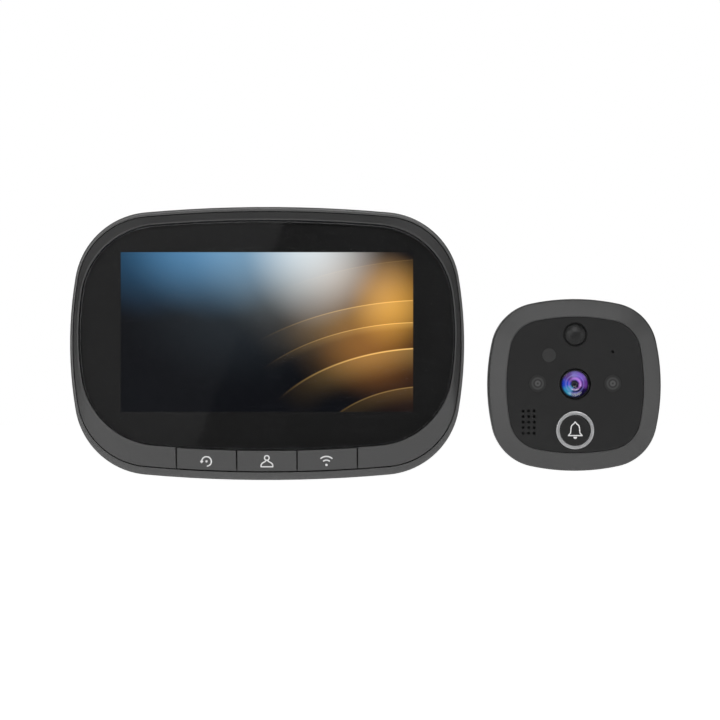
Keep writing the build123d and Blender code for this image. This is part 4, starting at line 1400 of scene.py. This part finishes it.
@dataclass
class BellButton:
    """The doorbell button with its bright ring and printed bell."""

    cap: Finish
    ring: Finish
    ink: Finish
    stroke: float = 0.36

    def build(self) -> None:
        """Builds the button, the ring and the icon."""
        node = "doorbell_button"
        smooth_copy(node, Body.BELL, Slot.FACE, self.cap, 35.0)
        smooth_copy("bell_ring", Body.FIXED, Slot.RING, self.ring, 50.0)
        icon = self.bell_icon().settle(node, *middle_of(node))
        shape_piece(icon, "bell_icon", Body.BELL, Slot.STUD, self.ink, 40.0)

    def bell_icon(self) -> Pen:
        """An outlined bell with a filled clapper.

        Returns:
            The pen that drew it.
        """
        pen = Pen(self.stroke)
        pen.arc((0.0, 0.78), 1.36, 176.0, 116.0, 12)
        pen.arc((0.0, 0.78), 1.36, 64.0, 4.0, 12)
        pen.path((-0.56, 2.04), (0.0, 2.74), (0.56, 2.04))
        for side in (-1, 1):
            pen.path((side * 1.36, 0.84), (side * 1.52, -0.86), (side * 2.22, -1.66))
        pen.line((-2.22, -1.70), (2.22, -1.70))
        return pen.patch((-0.60, -2.06), (-0.48, -2.60), (0.0, -2.82), (0.48, -2.60), (0.60, -2.06))


@dataclass
class Innards:
    """What is inside the two units, seen only through their openings: finishes and their nodes."""

    finishes: tuple[tuple[Finish, str], ...] = (
        (
            MouldedPlastic("solder_mask", (0.012, 0.085, 0.045), 0.3, 900.0, 0.5, 0.000008, 0.1),
            "main_board camera_board",
        ),
        (
            MouldedPlastic("chip_package", grey(34), 0.5, 3000.0),
            "processor_chip image_sensor monitor_speaker camera_speaker microphone",
        ),
        (
            MouldedPlastic("connector_shell", tint(216, 210, 190), 0.45, 2000.0),
            "camera_cable_socket board_header",
        ),
        (
            DrawnMetal("plated_sheet", (0.62, 0.62, 0.63), 0.3),
            "usb_socket card_socket radio_module backlight_tray pir_sensor power_switch "
            "key_switches doorbell_switch board_screws",
        ),
        (DrawnMetal("cell_foil", (0.55, 0.56, 0.58), 0.4, (300.0, 300.0, 900.0)), "battery_pack"),
        (MouldedPlastic("aerial_film", tint(150, 104, 40), 0.35, 1500.0), "wireless_aerial"),
        (
            MouldedPlastic("switch_stud_black", grey(40), 0.4),
            "replay_plunger call_plunger wireless_plunger doorbell_plunger lens_holder",
        ),
        (PolishedPlastic("lamp_epoxy_clear", grey(120), 0.08), "infrared_lamps light_sensor"),
        (PolishedPlastic("panel_glass", grey(20), 0.15), "lcd_module"),
        (DrawnMetal("insert_brass", (0.72, 0.52, 0.24), 0.25), "threaded_inserts"),
        (MouldedPlastic("seal_rubber", grey(30), 0.75, 3000.0, 0.3), "door_gasket cable_grommet"),
    )

    def build(self) -> None:
        """Dresses each node in its finish."""
        for finish, nodes in self.finishes:
            dress(finish, *nodes.split())


@dataclass(frozen=True)
class Softbox:
    """One soft light of the studio."""

    name: str
    place: Triple
    aim: Triple
    size: tuple[float, float]
    power: float


@dataclass
class Studio:
    """Camera, floor and soft light."""

    view_centre: Point = (0.03025, -0.00538)
    view_width: float = 0.23355
    distance: float = 0.90
    nearest: float = 0.01
    sensor: float = 36.0
    floor_height: float = -0.17
    floor_front: float = -1.2
    floor_size: float = 3.6
    floor_tones: tuple[Colour, Colour] = (even(0.86), even(0.90))
    floor_glow: tuple[Colour, Colour] = (even(0.30), even(1.0))
    floor_roughness: float = 0.9
    card_place: float = -1.60
    card_corners: tuple[Point, ...] = (
        (-0.85, -0.15), (-0.143, -0.15), (-0.022, 0.16), (-0.85, 0.16)
    )
    card_tones: tuple[Colour, Colour] = ((0.165, 0.165, 0.168), (0.225, 0.225, 0.228))
    world_level: float = 0.01
    boxes: tuple[Softbox, ...] = (
        Softbox("light_above", (0.10, -0.80, 0.62), (0.03, 0.0, 0.0), (0.90, 0.40), 7.8),
        Softbox("light_right", (0.80, -0.55, 0.06), (0.05, 0.0, 0.0), (0.40, 0.70), 2.2),
        Softbox("light_left", (-0.62, -0.80, 0.16), (0.03, 0.0, 0.0), (0.40, 0.50), 3.9),
        Softbox("light_behind", (0.0, 0.95, 0.55), (0.0, 0.0, 0.0), (1.2, 0.8), 6.0),
    )

    def build(self) -> None:
        """Sets the camera, the floor, the lights and the world."""
        self.aim_camera()
        self.lay_floor()
        self.stand_card()
        for box in self.boxes:
            self.hang(box)
        self.light_world()
        bpy.context.scene.view_settings.view_transform = "Standard"

    def aim_camera(self) -> None:
        """Points a level camera at the middle of the photograph's frame."""
        lens = bpy.data.cameras.new("photo_camera")
        lens.sensor_width = self.sensor
        lens.lens = self.sensor * self.distance / self.view_width
        lens.clip_start = self.nearest
        camera = bpy.data.objects.new("photo_camera", lens)
        front = CAD_BOX[0][1]
        camera.location = (self.view_centre[0], front - self.distance, self.view_centre[1])
        camera.rotation_euler = (math.radians(90), 0.0, 0.0)
        bpy.context.scene.collection.objects.link(camera)
        bpy.context.scene.camera = camera

    def lay_floor(self) -> None:
        """Lays a wide pale floor below the units."""
        bm = bmesh.new()
        bmesh.ops.create_grid(bm, x_segments=4, y_segments=4, size=self.floor_size)
        middle = self.floor_front + self.floor_size
        bmesh.ops.translate(bm, verts=bm.verts, vec=(0.0, middle, self.floor_height))
        tree = Surface("pale_floor")
        seen = tree.add("LightPath").outputs["Is Camera Ray"]
        material = tree.finish(
            Base_Color=tree.blend(tree.noise(tree.place, 3.0), *self.floor_tones),
            Roughness=self.floor_roughness, Emission_Color=tree.blend(seen, *self.floor_glow),
            Emission_Strength=1.0,
        )
        floor = add_object("pale_floor", bm)
        floor.data.materials.append(material)

    def stand_card(self) -> None:
        """Stands a faintly lit card behind the camera, whose slanting edge shows in the window."""
        bm = bmesh.new()
        bm.faces.new([bm.verts.new((x, self.card_place, z)) for x, z in self.card_corners])
        tree = Surface("slanted_card")
        glow = tree.blend(tree.noise(tree.place, 1.5), *self.card_tones)
        material = tree.finish(Base_Color=even(0.0), Emission_Color=glow, Emission_Strength=1.0)
        card = add_object("slanted_card", bm)
        card.data.materials.append(material)
        card.visible_camera = False
        card.visible_diffuse = False

    def hang(self, box: Softbox) -> None:
        """Hangs one softbox.

        Args:
            box: The softbox.
        """
        light = bpy.data.lights.new(box.name, "AREA")
        light.shape = "RECTANGLE"
        light.size, light.size_y = box.size
        light.energy = box.power
        lamp = bpy.data.objects.new(box.name, light)
        lamp.location = box.place
        way = Vector(box.aim) - Vector(box.place)
        lamp.rotation_euler = way.to_track_quat("-Z", "Y").to_euler()
        bpy.context.scene.collection.objects.link(lamp)

    def light_world(self) -> None:
        """White where the camera looks past the object, and dimmer as a light."""
        world = bpy.data.worlds.new("studio")
        world.use_nodes = True
        world.node_tree.nodes.clear()
        tree = Tree(world.node_tree)
        seen = tree.add("LightPath").outputs["Is Camera Ray"]
        level = tree.ramp(seen, 0.0, 1.0, self.world_level, 1.0)
        backdrop = tree.add("Background", even(1.0), level)
        tree.add("OutputWorld", Surface=backdrop.outputs[0])
        bpy.context.scene.world = world


def build_object() -> None:
    """Builds and dresses the two units."""
    case = MouldedPlastic("case_black", grey(65), 0.36, wear=0.15)
    bezel = MouldedPlastic("bezel_black", grey(53), 0.40, wear=0.15)
    housing = MouldedPlastic("camera_black", grey(54), 0.42, wear=0.15)
    ink = MouldedPlastic("icon_ink", grey(196), 0.5, 6000.0, 0.1, 0.000003, 0.0)
    low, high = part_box("screen_window")
    window = ClearSheet("window_clear", edge_from=low.y + 0.000003, edge_to=high.y - 0.00002)
    film = PolishedPlastic("printed_black", grey(23), 0.03, 0.2)
    Monitor(case, bezel, window, film, ScreenPicture("lit_picture")).build()
    FrontKeys(bezel, ink).build()
    face = PolishedPlastic("face_black", grey(37), 0.18, 0.2)
    OutdoorUnit(housing, face, PolishedPlastic("tinted_dark", grey(52), 0.10, 0.2)).build()
    MotionDome(MouldedPlastic("pir_black", grey(17), 0.42, 4000.0, gloss=0.3)).build()
    turned_metal = (900.0, 900.0, 900.0)
    Lens(
        DrawnMetal("barrel_black", grey(30), 0.3, turned_metal, metallic=0.6),
        # the inner element's coating is painted with reflections, highlights, shade and glow
        LensPaintedReflections("lens_coating_painted_reflections", middle_of("lens_barrel")),
        ClearSheet("lens_front", smears=0.05),
    ).build()
    satin = (9000.0, 9000.0, 9000.0)
    ring = DrawnMetal("ring_satin", (0.60, 0.60, 0.61), 0.34, satin, 0.000002, wear=0.1)
    BellButton(face, ring, ink).build()
    screws = Fixings(DrawnMetal("screw_black", (0.10, 0.10, 0.105), 0.35, turned_metal))
    screws.at_corners("case_screws", Body.MONITOR, 1.9, 1.4, 1.0)
    screws.at_corners("cover_screws", Body.FIXED, 1.7, 1.1, 0.9)
    zinc = DrawnMetal("bracket_zinc", (0.60, 0.61, 0.62), 0.34)
    smooth_copy("door_bracket", Body.FIXED, Slot.STEEL, zinc)
    dress(case, "power_slider")
    Innards().build()


def main() -> None:
    """Builds the studio and the object."""
    logging.basicConfig(level=logging.INFO, format="%(message)s")
    Studio().build()
    build_object()


if __name__ == "__main__":
    main()
